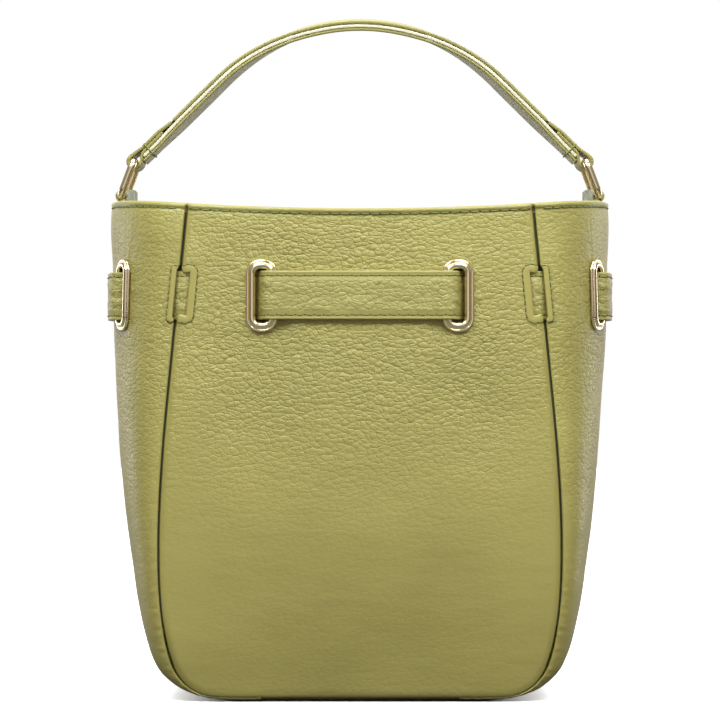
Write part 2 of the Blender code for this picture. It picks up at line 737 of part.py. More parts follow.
def make_keeper():
    """A leather loop round the strap and its tail."""
    face = half_depth(BELT_Z) + crown(BELT_Z) * (1 - (KEEPER_X / WINDOW_X) ** 2)
    low = face + CONTACT_GAP + 0.1
    high = face + KEEPER_LEVEL + 1.5 * BELT + KEEPER_ROOM + 2 * CONTACT_GAP + KEEPER
    middle = (high + low) / 2
    outline = rounded_rectangle(1, 1, 0.04, 1)
    loops = []
    for x in (-KEEPER_X - KEEPER_WIDTH / 2, -KEEPER_X + KEEPER_WIDTH / 2):
        for grow in ((0, KEEPER) if x < -KEEPER_X else (KEEPER, 0)):
            half_y = (high - low) / 2 - KEEPER + grow
            half_z = BELT_WIDTH / 2 + KEEPER_ROOM + grow
            loops.append([(x, middle + half_y * a, BELT_Z + half_z * b) for a, b in outline])
    swept_ring("belt_keeper", loops, leather())


# ---- rings, tabs and handle ----------------------------------------------

def ring_bars():
    low = Vector((RING_X, 0, RING_Z))
    high = low + Vector((-sin(RING_TILT), 0, cos(RING_TILT))) * RING_HEIGHT
    return low, high


def make_rings():
    low, high = ring_bars()
    middle = (low + high) / 2
    up = (high - low).normalized()
    for side, name in ((1, "right"), (-1, "left")):
        points = []
        for y, rise in rounded_rectangle(RING_HALF_WIDTH, RING_HEIGHT / 2, RING_CORNER, 4):
            place = middle + up * rise
            points.append((side * place.x, y, place.z))
        wire("ring_" + name, points, RING_WIRE, metal(), True)


def ribbon_xz(name, path, half_width, thickness, surface, side=1):
    """A strap lying along a path in the XZ plane, its width along Y."""
    path = np.array(path)
    tangent = np.gradient(path, axis=0)
    tangent /= np.linalg.norm(tangent, axis=1)[:, None]
    normal = np.stack((-tangent[:, 1], tangent[:, 0]), axis=1)
    sections = []
    for centre, up in zip(path, normal):
        for y, reach in ((-1, -1), (1, -1), (1, 1), (-1, 1)):
            place = centre + up * reach * thickness / 2
            sections.append((side * place[0], y * half_width, place[1]))
    return mesh_object(name, sections, strap_faces(len(path)), surface)


def make_tabs():
    """Each tab is a loop over the ring's bar, and the part of it that is sewn inside the rim."""
    radius = RING_WIRE + TAB_ROOM + TAB / 2
    turn = [(RING_X + radius * cos(a), RING_Z + radius * sin(a))
            for a in np.linspace(radians(-62), radians(222), 13)]
    outer, inner = TAB_LEGS_X + 0.65, TAB_LEGS_X - 0.55
    path = [(outer, TAB_FOOT_Z), (outer + TAB_ROOM, TAB_FOOT_Z + 0.9)] + turn
    path += [(inner - 0.05, TAB_FOOT_Z + 0.8), (inner, TAB_FOOT_Z)]
    top = TAB_FOOT_Z - ANCHOR_GAP
    for side, name in ((1, "right"), (-1, "left")):
        ribbon_xz("tab_loop_" + name, path, TAB_HALF_WIDTH, TAB, leather(), side=side)
        low, high = side * (TAB_LEGS_X - ANCHOR_INNER), side * (TAB_LEGS_X + ANCHOR_OUTER)
        outline = [(low, top - ANCHOR_DEPTH), (high, top - ANCHOR_DEPTH), (high, top), (low, top)]
        prism("tab_anchor_" + name, outline, -TAB_HALF_WIDTH, TAB_HALF_WIDTH, leather())


def handle_frame():
    """Where the handle's straight flank starts, its direction down, and its outward direction."""
    centre = np.array((0.0, HANDLE_TOP_Z - HANDLE_RADIUS))
    start = centre + HANDLE_RADIUS * np.array((sin(HANDLE_SPREAD), cos(HANDLE_SPREAD)))
    down = np.array((cos(HANDLE_SPREAD), -sin(HANDLE_SPREAD)))
    out = np.array((sin(HANDLE_SPREAD), cos(HANDLE_SPREAD)))
    return centre, start, down, out


def handle_half(depth, stop):
    """Half of a layer's path, at a depth under the handle's outer face, from the top down.

    stop is how far before the ring's upper bar the layer ends, along the flank."""
    centre, start, down, out = handle_frame()
    _, bar = ring_bars()
    flank = float(np.dot(np.array((bar.x, bar.z)) - start, down))
    arc = [centre + (HANDLE_RADIUS - depth) * np.array((sin(a), cos(a)))
           for a in np.linspace(0, HANDLE_SPREAD, 11)]
    straight = [start - out * depth + down * (flank - stop) * k / 2 for k in range(1, 3)]
    return arc + straight


def mirrored(half):
    return [(-x, z) for x, z in half[::-1]] + [tuple(point) for point in half[1:]]


def make_handle():
    """The top strap wraps both rings and turns back under; the core and the under strap stop short."""
    _, bar = ring_bars()
    _, start, down, out = handle_frame()
    hub = np.array((bar.x, bar.z))
    middle = float(np.dot(start - hub, out)) - HANDLE_TOP / 2
    radius = RING_WIRE + CONTACT_GAP + HANDLE_TOP / 2
    half = handle_half(HANDLE_TOP / 2, WRAP_START)
    for step in range(1, 7):
        part = step / 6
        rise = middle + (radius - middle) * fade(part)
        half.append(hub - down * WRAP_START * (1 - part) + out * rise)
    for angle in np.linspace(radians(65), radians(-90), 9):
        half.append(hub + radius * (down * cos(angle) + out * sin(angle)))
    half.append(hub - out * radius - down * WRAP_RETURN)
    ribbon_xz("handle_top_strap", mirrored(half), HANDLE_HALF_WIDTH, HANDLE_TOP, leather())
    depth = HANDLE_TOP + CONTACT_GAP + HANDLE_CORE / 2
    core = mirrored(handle_half(depth, WRAP_RETURN + 0.2))
    ribbon_xz("handle_core", core, HANDLE_HALF_WIDTH, HANDLE_CORE,
              material("edge", EDGE_CREAM, 0.6))
    depth += HANDLE_CORE / 2 + CONTACT_GAP + HANDLE_UNDER / 2
    under = mirrored(handle_half(depth, WRAP_RETURN + 0.6))
    ribbon_xz("handle_under_strap", under, HANDLE_HALF_WIDTH, HANDLE_UNDER, leather())


clear_scene()
BAG = make_collection("handbag")
CUTTERS = make_collection("cutters")
PLAN = plan_outline()
PLAN_LENGTHS = plan_lengths(PLAN)
FRONT_EYELET_TRAVEL = float(np.interp(FRONT_EYELET_X, PLAN[:, 0], PLAN_LENGTHS))
WINDOW_TRAVEL = float(np.interp(WINDOW_X, PLAN[:, 0], PLAN_LENGTHS))
SIDE_EYELET_TRAVEL = travel_to_side_eyelet()
make_body()
make_base()
make_facings()
make_lining()
make_pocket()
make_snaps()
make_bindings()
make_belt()
make_buckle()
make_keeper()
make_rings()
make_tabs()
make_handle()
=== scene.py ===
"""Looks of the belted bucket handbag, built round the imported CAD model.

Lengths in this file are millimetres until a mesh is made.  The body's surfaces are the same
curves as the CAD model's; each visible piece is a fine mesh that stands for a plain CAD solid.
"""
from math import atan2, ceil, cos, pi, radians, sin

import bmesh
import bpy
import numpy as np
from mathutils import Matrix, Vector


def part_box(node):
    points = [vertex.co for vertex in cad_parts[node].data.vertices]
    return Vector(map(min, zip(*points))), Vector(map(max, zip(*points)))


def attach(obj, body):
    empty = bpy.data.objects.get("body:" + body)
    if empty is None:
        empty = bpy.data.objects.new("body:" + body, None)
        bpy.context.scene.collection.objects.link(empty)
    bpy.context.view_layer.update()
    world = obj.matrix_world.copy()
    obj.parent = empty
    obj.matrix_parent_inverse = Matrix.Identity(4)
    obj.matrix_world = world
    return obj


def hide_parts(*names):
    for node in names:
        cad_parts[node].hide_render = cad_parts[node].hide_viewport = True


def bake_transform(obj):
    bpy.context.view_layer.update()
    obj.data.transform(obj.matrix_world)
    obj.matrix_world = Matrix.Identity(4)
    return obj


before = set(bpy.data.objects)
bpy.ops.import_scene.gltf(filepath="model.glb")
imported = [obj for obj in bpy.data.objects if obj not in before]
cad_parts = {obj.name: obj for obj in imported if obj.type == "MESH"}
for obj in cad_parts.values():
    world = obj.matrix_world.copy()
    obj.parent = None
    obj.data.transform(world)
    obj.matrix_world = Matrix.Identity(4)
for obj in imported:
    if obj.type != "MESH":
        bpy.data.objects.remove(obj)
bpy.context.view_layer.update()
MM = 0.001

# The body, as in the CAD model, but for the seam's lowest points, which reach the ground here
SEAM = [(70.2, 201.6), (72.5, 177.8), (76.2, 141.4), (80.0, 101), (81.7, 66.4), (80.8, 38),
        (77.0, 17.2), (71.8, 7.6), (64.0, 2.4), (54, 0.9), (40, 0.9)]
OUTER = [(104.0, 204.0), (103.4, 177.8), (102.2, 141.4), (99.2, 101), (95.3, 65.4), (90.3, 36),
         (84.3, 15.8), (77.0, 7.0), (66.5, 1.8), (54, 0), (40, 0)]
LAST_STATION = len(SEAM) - 1
PANEL_LAST_STATION = 9
HALF_DEPTH_TOP, HALF_DEPTH_BELLY, HALF_DEPTH_BASE = 52.2, 54.0, 49.5
BELLY_Z = 60.0
CROWN, CROWN_FULL_Z = 6.0, 75.0
RIM_DIP, RIM_DIP_START = 2.3, 121.0
BASE_END = 40.0
LINING_INSET, LINING = 5.6, 0.8
POCKET_WIDTH, POCKET_BOTTOM, POCKET_TOP = 96.0, 84.0, 152.0

# The belt, as in the CAD model
BELT_Z, BELT_WIDTH, BELT = 164.8, 19.6, 1.8
BELT_DROP = 0.7             # the strap hangs a little low in its eyelets
BELT_OUT, BELT_OVER, BELT_IN, BELT_UNDER, BELT_WINDOW = 1.3, 3.4, -3.2, -4.2, -1.7
FRONT_EYELET_X, SIDE_EYELET_Y = 39.5, 34.7
HOLE = (2.6, 10.8, 1.9)     # half-width, half-height and corner of an eyelet's opening
BARREL, BARREL_DEPTH = 0.6, 2.3
WINDOW_X, WINDOW_HALF_WIDTH, WINDOW_HALF_HEIGHT = 71.9, 3.6, 10.4
BUCKLE_BAR_X, BUCKLE_WIRE, BUCKLE_OFFSET = 9.0, 1.2, 3.9
BUCKLE_HALF_HEIGHT, BUCKLE_REACH = 12.4, 19.0
BAR_ROOM = 0.35             # between the bar and what goes round it
PRONG_WIRE = 0.8
FOLD_END_X, TAIL_END_X = 18.0, 31.0
KEEPER_X, KEEPER_WIDTH, KEEPER, KEEPER_LEVEL = 24.0, 5.0, 0.9, 2.5
CONTACT_GAP = 0.3

# Rings, tabs and handle, as in the CAD model
RING_X, RING_Z, RING_HEIGHT, RING_TILT = 99.3, 206.4, 15.1, radians(20.5)
RING_WIRE, RING_HALF_WIDTH, RING_CORNER = 1.65, 13.15, 3.0
TAB_HALF_WIDTH, TAB, TAB_FOOT_Z = 8.0, 0.8, 202.9
HANDLE_TOP_Z, HANDLE_RADIUS, HANDLE_SPREAD = 280.6, 84.0, radians(44.5)
HANDLE_HALF_WIDTH = 10.5
HANDLE_TOP, HANDLE_CORE, HANDLE_UNDER = 1.4, 1.4, 1.2
# Distances from the ring's bar: where the top strap starts to rise off the core, where it lies on
# its own returned end, and where that end stops; then the ends of the core and of the under strap.
WRAP_START, WRAP_FULL, WRAP_END = 24.0, 14.0, 17.0
CORE_END, UNDER_END = 4.4, 3.0

# Looks only
SKIN_STEP = 0.66            # mesh spacing of the leather body
SKIN = 1.3                  # leather thickness
FOLD = 1.7                  # radius of the folded rim
FACING_BOTTOM = 186.0
PANEL_ROLL, PANEL_SINK = 3.6, 2.4       # how far from a seam a panel turns in, and how deep
GUSSET_ROLL, GUSSET_SINK = 1.3, 1.2
GUSSET_LIP = 0.45           # how proud a gusset's turned edge stands
SEAM_FLANGE = 3.0           # the sewn allowance that closes the seam from behind
PEBBLE = 3.1                # grain size
RIM_PITCH, BELT_PITCH, BINDING_PITCH = 4.0, 3.8, 2.8
THREAD = 0.30               # radius


# ---- curves --------------------------------------------------------------

def spline(points, at):
    """Points on the smooth curve through the given ones; at counts spans."""
    points = np.asarray(points, float)
    at = np.asarray(at, float)
    last = len(points) - 1
    span = np.clip(at.astype(int), 0, last - 1)
    t = (at - span)[..., None]
    a, b, c, d = (points[np.clip(span + k, 0, last)] for k in (-1, 0, 1, 2))
    return 0.5 * (2 * b + (c - a) * t + (2 * a - 5 * b + 4 * c - d) * t ** 2
                  + (3 * b - a - 3 * c + d) * t ** 3)


def fade(value):
    """Rises smoothly from 0 at 0 to 1 at 1."""
    value = np.clip(value, 0.0, 1.0)
    return value * value * (3 - 2 * value)


def unit(vectors):
    length = np.linalg.norm(vectors, axis=-1, keepdims=True)
    return vectors / np.maximum(length, 1e-9)


def lengths(points):
    """Distance along a path, from its start to each of its points."""
    steps = np.linalg.norm(np.diff(points, axis=0), axis=-1)
    return np.concatenate(([0.0], np.cumsum(steps)))


def resampled(points, step):
    """The same path with evenly spaced points."""
    points = np.asarray(points, float)
    along = lengths(points)
    count = max(2, ceil(along[-1] / step) + 1)
    at = np.linspace(0, along[-1], count)
    return np.stack([np.interp(at, along, points[:, k]) for k in range(points.shape[1])], axis=1)


def smoothed(points, passes):
    """The path relaxed towards its own middle, with its ends held."""
    points = points.copy()
    for _ in range(passes):
        points[1:-1] = points[1:-1] * 0.5 + (points[:-2] + points[2:]) * 0.25
    return points


def rounded_rectangle(half_width, half_height, corner, steps):
    """Points round a rectangle with round corners, anticlockwise."""
    points = []
    for quarter, (sx, sy) in enumerate(((1, 1), (-1, 1), (-1, -1), (1, -1))):
        for step in range(steps + 1):
            angle = (quarter + step / steps) * pi / 2
            points.append((sx * (half_width - corner) + corner * cos(angle),
                           sy * (half_height - corner) + corner * sin(angle)))
    return np.array(points)


def outside_rounded(x, z, half_width, half_height, corner):
    """Signed distance outside a rounded rectangle; negative inside."""
    far_x = np.abs(x) - (half_width - corner)
    far_z = np.abs(z) - (half_height - corner)
    outside = np.hypot(np.maximum(far_x, 0), np.maximum(far_z, 0))
    return outside + np.minimum(np.maximum(far_x, far_z), 0) - corner


def even_steps(total, step, edge_step, edge):
    """Places from 0 to the total, closer together near both ends."""
    ends = max(1, round(edge / edge_step))
    start = np.linspace(0, edge, ends, endpoint=False)
    middle = np.linspace(edge, total - edge, max(2, round((total - 2 * edge) / step)))
    return np.concatenate((start, middle, total - start[::-1]))


# ---- noise and grain -----------------------------------------------------

def soft_noise(u, v, size, seed):
    """Smooth noise of about -1 to 1, with features of the given size."""
    random = np.random.default_rng(seed)
    u = (u - u.min()) / size
    v = (v - v.min()) / size
    table = random.uniform(-1, 1, (int(v.max()) + 3, int(u.max()) + 3))
    column, row = u.astype(int), v.astype(int)
    s, t = fade(u - column), fade(v - row)
    low = table[row, column] * (1 - s) + table[row, column + 1] * s
    high = table[row + 1, column] * (1 - s) + table[row + 1, column + 1] * s
    return low * (1 - t) + high * t


def crease_distance(u, v, size, seed):
    """Distance to the nearest groove of a pebbled grain, and the height of the pebble there."""
    u = u + soft_noise(u, v, size * 2.2, seed + 1) * size * 0.35
    v = v + soft_noise(u, v, size * 1.7, seed + 2) * size * 0.35
    random = np.random.default_rng(seed)
    u = (u - u.min()) / (size * 1.12) + 3
    v = (v - v.min()) / size + 3
    shape = (int(v.max()) + 5, int(u.max()) + 5)
    jitter = random.uniform(-0.4, 0.4, shape + (2,))
    heights = random.uniform(0, 1, shape)
    column, row = u.astype(int), v.astype(int)
    first = np.full(u.shape, 9.0)
    second = np.full(u.shape, 9.0)
    height = np.zeros(u.shape)
    for down in range(-2, 3):
        for over in range(-2, 3):
            r, c = row + down, column + over
            du = c + 0.5 + 0.5 * (r % 2) + jitter[r, c, 0] - u
            dv = r + 0.5 + jitter[r, c, 1] - v
            reach = np.hypot(du, dv)
            nearer = reach < first
            second = np.where(nearer, first, np.minimum(second, reach))
            height = np.where(nearer, heights[r, c], height)
            first = np.where(nearer, reach, first)
    return (second - first) * size, height


def grain(u, v, size, seed):
    """Height from -1 in a groove to about 0 on a pebble, and how near a groove it is."""
    gap, height = crease_distance(u, v, size, seed)
    dome = 1 - np.exp(-(gap / (0.32 * size)) ** 1.5)
    fine, _ = crease_distance(u + 50, v + 20, size * 0.45, seed + 9)
    fine = 1 - np.exp(-(fine / (0.14 * size)) ** 1.5)
    level = dome * (0.75 + 0.25 * height) * (0.85 + 0.15 * fine) - 1
    return level, np.exp(-(gap / (0.17 * size)) ** 2)


# ---- the body's surfaces -------------------------------------------------

def half_depth(z):
    z = np.asarray(z, float)
    low = HALF_DEPTH_BELLY - (HALF_DEPTH_BELLY - HALF_DEPTH_BASE) * (1 - z / BELLY_Z) ** 2
    rise = (z - BELLY_Z) / (OUTER[0][1] - BELLY_Z)
    high = HALF_DEPTH_BELLY - (HALF_DEPTH_BELLY - HALF_DEPTH_TOP) * rise ** 2
    return np.where(z < BELLY_Z, low, high)


def crown(z):
    return CROWN * fade(z / CROWN_FULL_Z)


def inward(curve, station, inset):
    """The outline moved in by the inset, square to itself."""
    station = np.asarray(station, float)
    here = spline(curve, station)
    here[..., 1] = np.maximum(here[..., 1], 0.0)
    ahead = unit(spline(curve, np.minimum(station + 0.05, LAST_STATION))
                 - spline(curve, np.maximum(station - 0.05, 0)))
    aside = np.stack((ahead[..., 1], -ahead[..., 0]), -1)
    return here + np.asarray(inset, float)[..., None] * aside


STATION_TABLE = np.linspace(0, LAST_STATION, 2001)
HEIGHT_TABLE = np.minimum.accumulate(inward(SEAM, STATION_TABLE, 0)[:, 1])


def station_at(z):
    """The station whose seam point is at height z."""
    return np.interp(-np.asarray(z, float), -HEIGHT_TABLE, STATION_TABLE)


def panel_point(station, across, inset=0.0, lift=0.0):
    """Points of the front panel; across runs from -1 to 1."""
    station, across, inset, lift = np.broadcast_arrays(station, across, inset, lift)
    seam = inward(SEAM, station, inset)
    x, z = seam[..., 0], seam[..., 1]
    z = z - RIM_DIP * fade((z - RIM_DIP_START) / 80) * (1 - across ** 2)
    y = half_depth(z) - inset + crown(z) * (1 - across ** 2)
    return np.stack((x * across, -y, z + lift), -1)


def gusset_point(station, along, inset=0.0, lift=0.0):
    """Points of the right gusset; along runs from the front seam, 0, to the back seam, 1."""
    station, along, inset, lift = np.broadcast_arrays(station, along, inset, lift)
    seam = inward(SEAM, station, inset)
    outer = inward(OUTER, station, inset)
    depth = half_depth(seam[..., 1]) - inset
    corner = depth * (1 - 0.85 * fade(station / 8))
    y = -depth * np.cos(pi * along)
    reach = np.clip((np.abs(y) - (depth - corner)) / corner, 0, 1)
    place = seam + (outer - seam) * np.sqrt(1 - reach ** 2)[..., None]
    return np.stack((place[..., 0], y, place[..., 1] + lift), -1)


PLAN_STEPS = 96             # points from the middle of the front to the seam, and on to the side
BELT_STATION = float(station_at(BELT_Z))


def plan_outline():
    """The body's outer face at the belt, from the front's middle to the right side's middle."""
    front = panel_point(BELT_STATION, np.linspace(0, 1, PLAN_STEPS + 1))
    side = gusset_point(BELT_STATION, np.linspace(0, 0.5, PLAN_STEPS + 1)[1:])
    return np.concatenate((front, side))[:, :2]


PLAN = plan_outline()
PLAN_LENGTHS = lengths(PLAN)
QUARTER = PLAN_LENGTHS[-1]
FRONT_EYELET_TRAVEL = float(np.interp(FRONT_EYELET_X, PLAN[:, 0], PLAN_LENGTHS))
WINDOW_TRAVEL = float(np.interp(WINDOW_X, PLAN[:, 0], PLAN_LENGTHS))
SIDE_EYELET_TRAVEL = float(np.interp(-SIDE_EYELET_Y, PLAN[PLAN_STEPS:, 1],
                                     PLAN_LENGTHS[PLAN_STEPS:]))
SEAM_TRAVEL = PLAN_LENGTHS[PLAN_STEPS]


def turned_in(distance, roll, sink):
    near = np.clip(1 - distance / roll, 0, 1)
    return sink * (1 - np.sqrt(1 - near ** 2)) + SEAM_FLANGE * (distance < 0.05)


def panel_dip(distance):
    """How far a panel's leather sinks at a distance from its seam."""
    return turned_in(distance, PANEL_ROLL, PANEL_SINK)


def gusset_dip(distance):
    """The gusset's edge lies over the panel's, as a small rounded lip."""
    lip = GUSSET_LIP * np.exp(-((distance - 2.2) / 1.5) ** 2)
    return turned_in(distance, GUSSET_ROLL, GUSSET_SINK) - lip


def wall(travel, z):
    """Points of the body's outer face, a distance round the bag from the front's middle."""
    travel, z = np.broadcast_arrays(np.asarray(travel, float), np.asarray(z, float))
    travel = (travel + 2 * QUARTER) % (4 * QUARTER) - 2 * QUARTER
    side = np.where(travel < 0, -1.0, 1.0)
    travel = np.abs(travel)
    back = np.where(travel > QUARTER, -1.0, 1.0)
    travel = np.where(travel > QUARTER, 2 * QUARTER - travel, travel)
    index = np.interp(travel, PLAN_LENGTHS, np.arange(len(PLAN)))
    station = station_at(z)
    front = panel_point(station, np.clip(index / PLAN_STEPS, 0, 1))
    flank = gusset_point(station, np.clip((index - PLAN_STEPS) / PLAN_STEPS / 2, 0, 0.5))
    place = np.where((index <= PLAN_STEPS)[..., None], front, flank)
    beside = travel - SEAM_TRAVEL
    dip = np.where(beside < 0, panel_dip(np.abs(beside) + 0.1), gusset_dip(np.abs(beside) + 0.1))
    place = place * np.stack((side, back, np.ones_like(side)), -1)
    return place, dip


def wall_frame(travel, z):
    """Points of the outer face, with the directions round the bag, up the wall and out of it."""
    place, _ = wall(travel, z)
    ahead = unit(wall(travel + 0.4, z)[0] - wall(travel - 0.4, z)[0])
    above = unit(wall(travel, z + 0.8)[0] - wall(travel, z - 0.8)[0])
    return place, ahead, above, unit(np.cross(ahead, above))


def wall_matrix(travel):
    """Where a rigid piece that faces -Y stands on the wall at the belt's level, leaning with it."""
    reach = 10.0
    place, ahead, _, _ = wall_frame(travel, BELT_Z)
    ahead = unit(ahead * (1, 1, 0))
    outward = np.cross(ahead, (0, 0, 1))
    low, high = (wall(travel, BELT_Z + step)[0] @ outward for step in (-reach, reach))
    tilt = atan2(low - high, 2 * reach)
    up = np.array((0, 0, cos(tilt))) - outward * sin(tilt)
    made = np.eye(4)
    made[:3, 0], made[:3, 1], made[:3, 2], made[:3, 3] = ahead, np.cross(up, ahead), up, place
    return made


def placed(points, matrix):
    points = np.asarray(points, float)
    return points @ matrix[:3, :3].T + matrix[:3, 3]


# ---- meshes --------------------------------------------------------------

def piece(name, points, faces, surfaces, body="bag", sharp=None, slots=None, tidy=True):
    """A mesh that rides on a CAD body; surfaces is its material, or a list for the slots' faces."""
    mesh = bpy.data.meshes.new(name)
    mesh.from_pydata((np.asarray(points) * MM).tolist(), [], faces)
    if tidy:
        work = bmesh.new()
        work.from_mesh(mesh)
        bmesh.ops.recalc_face_normals(work, faces=work.faces)
        work.to_mesh(mesh)
        work.free()
    mesh.shade_smooth()
    if sharp:
        mesh.set_sharp_from_angle(angle=radians(sharp))
    made = bpy.data.objects.new(name, mesh)
    bpy.context.scene.collection.objects.link(made)
    for surface in surfaces if isinstance(surfaces, list) else [surfaces]:
        mesh.materials.append(surface)
    if slots is not None:
        mesh.polygons.foreach_set("material_index", np.asarray(slots, np.int32))
    if body:
        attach(made, body)
    return made


def loft(rings, closed=False, first=0):
    """Faces between rings of equal length, one after the other, with caps unless closed."""
    rows, count = rings
    faces = []
    for row in range(rows if closed else rows - 1):
        here = first + row * count
        after = first + (row + 1) % rows * count
        for k in range(count):
            around = (k + 1) % count
            faces.append((here + k, here + around, after + around, after + k))
    if not closed:
        faces.append(tuple(range(first + count - 1, first - 1, -1)))
        end = first + (rows - 1) * count
        faces.append(tuple(range(end, end + count)))
    return faces


def lofted(name, rings, surfaces, body="bag", closed=False, **more):
    """A piece whose faces join rings of points, one after the other."""
    faces = loft(rings.shape[:2], closed)
    return piece(name, rings.reshape(-1, 3), faces, surfaces, body, **more)


def sweep(centres, sides, ups, section):
    """Rings of points: a section of (along side, along up) carried along a path."""
    section = np.asarray(section, float)
    if section.ndim == 2:
        section = np.broadcast_to(section, (len(centres),) + section.shape)
    aside, above = section[..., 0:1], section[..., 1:2]
    return centres[:, None] + sides[:, None] * aside + ups[:, None] * above


def thick_sheet(name, outer, back, keep, surface, marks, coarse=4):
    """A fine outer face with a coarse inner one behind it; keep says which fine cells are there."""
    rows, columns = outer.shape[:2]
    row_picks = sorted(set(list(range(0, rows, coarse)) + [rows - 1]))
    column_picks = sorted(set(list(range(0, columns, coarse)) + [columns - 1]))
    number = np.arange(rows * columns).reshape(rows, columns)
    corner = number[:-1, :-1][keep]
    quads = np.stack((corner, corner + columns, corner + columns + 1, corner + 1), -1)
    faces = quads.tolist()
    shift = rows * columns
    inner = {}
    points = [outer.reshape(-1, 3)]
    extra = []
    for r in row_picks:
        for c in column_picks:
            inner[r, c] = shift + len(extra)
            extra.append(back[r, c])
    points.append(np.array(extra))
    for r, r2 in zip(row_picks, row_picks[1:]):
        for c, c2 in zip(column_picks, column_picks[1:]):
            if keep[r:r2, c:c2].all():
                faces.append((inner[r, c], inner[r, c2], inner[r2, c2], inner[r2, c]))
    for c in (0, columns - 1):
        for r, r2 in zip(row_picks, row_picks[1:]):
            edge = [int(number[k, c]) for k in range(r, r2 + 1)]
            strip = edge[::-1] + [inner[r, c], inner[r2, c]]
            faces.append(tuple(strip if c == 0 else strip[::-1]))
    for r in (0, rows - 1):
        for c, c2 in zip(column_picks, column_picks[1:]):
            edge = [int(number[r, k]) for k in range(c, c2 + 1)]
            strip = edge + [inner[r, c2], inner[r, c]]
            faces.append(tuple(strip if r == 0 else strip[::-1]))
    made = piece(name, np.concatenate(points), faces, surface, tidy=False)
    for mark, values in marks.items():
        data = np.zeros(len(made.data.vertices), np.float32)
        data[:shift] = values.reshape(-1)
        made.data.attributes.new(mark, "FLOAT", "POINT").data.foreach_set("value", data)
    return made


def grid_normals(grid):
    down = np.gradient(grid, axis=0)
    over = np.gradient(grid, axis=1)
    return unit(np.cross(down, over))


def strap_section(half_width, thickness, columns, edge=0.7, steps=4, groove=None):
    """A strap's outline as (across, up): its top face first, then round by its under side."""
    edge = min(edge, thickness / 2)
    across = np.linspace(-(half_width - edge), half_width - edge, columns)
    top = np.stack((across, np.full(columns, thickness / 2)), -1)
    if groove is not None:
        top[:, 1] -= groove(across)
    turn = np.linspace(pi / 2, 0, steps + 1)[1:]
    right = np.stack((half_width - edge + edge * np.cos(turn),
                      thickness / 2 - edge + edge * np.sin(turn)), -1)
    right_low = right[::-1] * (1, -1)
    low = np.stack((across[::-1], np.full(columns, -thickness / 2)), -1)
    left_low = right * (-1, -1)
    left = right[::-1] * (-1, 1)
    return np.concatenate((top, right, right_low, low, left_low, left))


def tube_frames(path, closed=False):
    """Tangents and two directions square to them, along a path."""
    path = np.asarray(path, float)
    if closed:
        ahead = unit(np.roll(path, -1, axis=0) - np.roll(path, 1, axis=0))
    else:
        ahead = unit(np.gradient(path, axis=0))
    across = np.zeros_like(ahead)
    reference = np.array((0.0, 1.0, 0.0))
    if abs(ahead[0] @ reference) > 0.9:
        reference = np.array((0.0, 0.0, 1.0))
    for k, direction in enumerate(ahead):
        reference = unit(reference - direction * (reference @ direction))
        across[k] = reference
    return ahead, across, np.cross(ahead, across)


def tube(name, path, radius, surface, body, closed=False, sides=16):
    ahead, across, up = tube_frames(path, closed)
    angles = np.linspace(0, 2 * pi, sides, endpoint=False)
    section = np.stack((np.cos(angles), np.sin(angles)), -1) * radius
    rings = sweep(np.asarray(path, float), across, up, section)
    return lofted(name, rings, surface, body, closed)


# ---- threads -------------------------------------------------------------

def thread_rows(paths, pitch, length, radius):
    """Stitches along paths of (points, outward directions), with a needle hole between each two."""
    points, faces, slots = [], [], []
    angles = np.linspace(0, 2 * pi, 6, endpoint=False)
    circle = np.stack((np.cos(angles), np.sin(angles)), -1)
    share = np.linspace(-1, 1, 7)
    total = 0

    def along_path(path, along, at):
        return np.stack([np.interp(at, along, path[:, k]) for k in range(3)], -1)

    for path, outward in paths:
        along = lengths(path)
        count = max(1, int(round(along[-1] / pitch)))
        step = along[-1] / count
        for k in range(count):
            at = (k + 0.5) * step + share * length / 2
            out = unit(along_path(outward, along, at))
            spot = along_path(path, along, at) + out * (radius * (0.6 - 1.7 * share ** 4))[:, None]
            ahead = unit(np.gradient(spot, axis=0))
            across = unit(np.cross(ahead, out))
            thickness = radius * np.sqrt(np.maximum(1 - 0.6 * share ** 2, 0.2))
            section = circle[None] * thickness[:, None, None]
            rings = sweep(spot, across, np.cross(across, ahead), section)
            faces += loft(rings.shape[:2], first=total)
            points.append(rings.reshape(-1, 3))
            total += len(points[-1])
        for k in range(count + 1):
            at = np.array([k * step])
            out = unit(along_path(outward, along, at))[0]
            ahead = unit(along_path(path, along, at + 0.3) - along_path(path, along, at - 0.3))[0]
            across = np.cross(ahead, out)
            spot = along_path(path, along, at)[0]
            levels = np.array((0.35, -0.1)) * radius
            rings = np.array([[spot + out * level + radius * 1.15 * (ahead * a + across * b)
                               for a, b in circle] for level in levels])
            hole = loft(rings.shape[:2], first=total)
            slots += [len(faces) + k2 for k2 in range(len(hole))]
            faces += hole
            points.append(rings.reshape(-1, 3))
            total += len(points[-1])
    # Slot 1, the needle holes, takes the near-black material: painted shade in them.
    colours = np.zeros(len(faces), int)
    colours[slots] = 1
    return np.concatenate(points), faces, colours


def stitches(name, paths, pitch, body="bag", fill=0.78, radius=THREAD):
    points, faces, slots = thread_rows(paths, pitch, pitch * fill, radius)
    return piece(name, points, faces, [THREAD_GREEN, HOLE_SHADE], body, slots=slots)


# ---- materials -----------------------------------------------------------

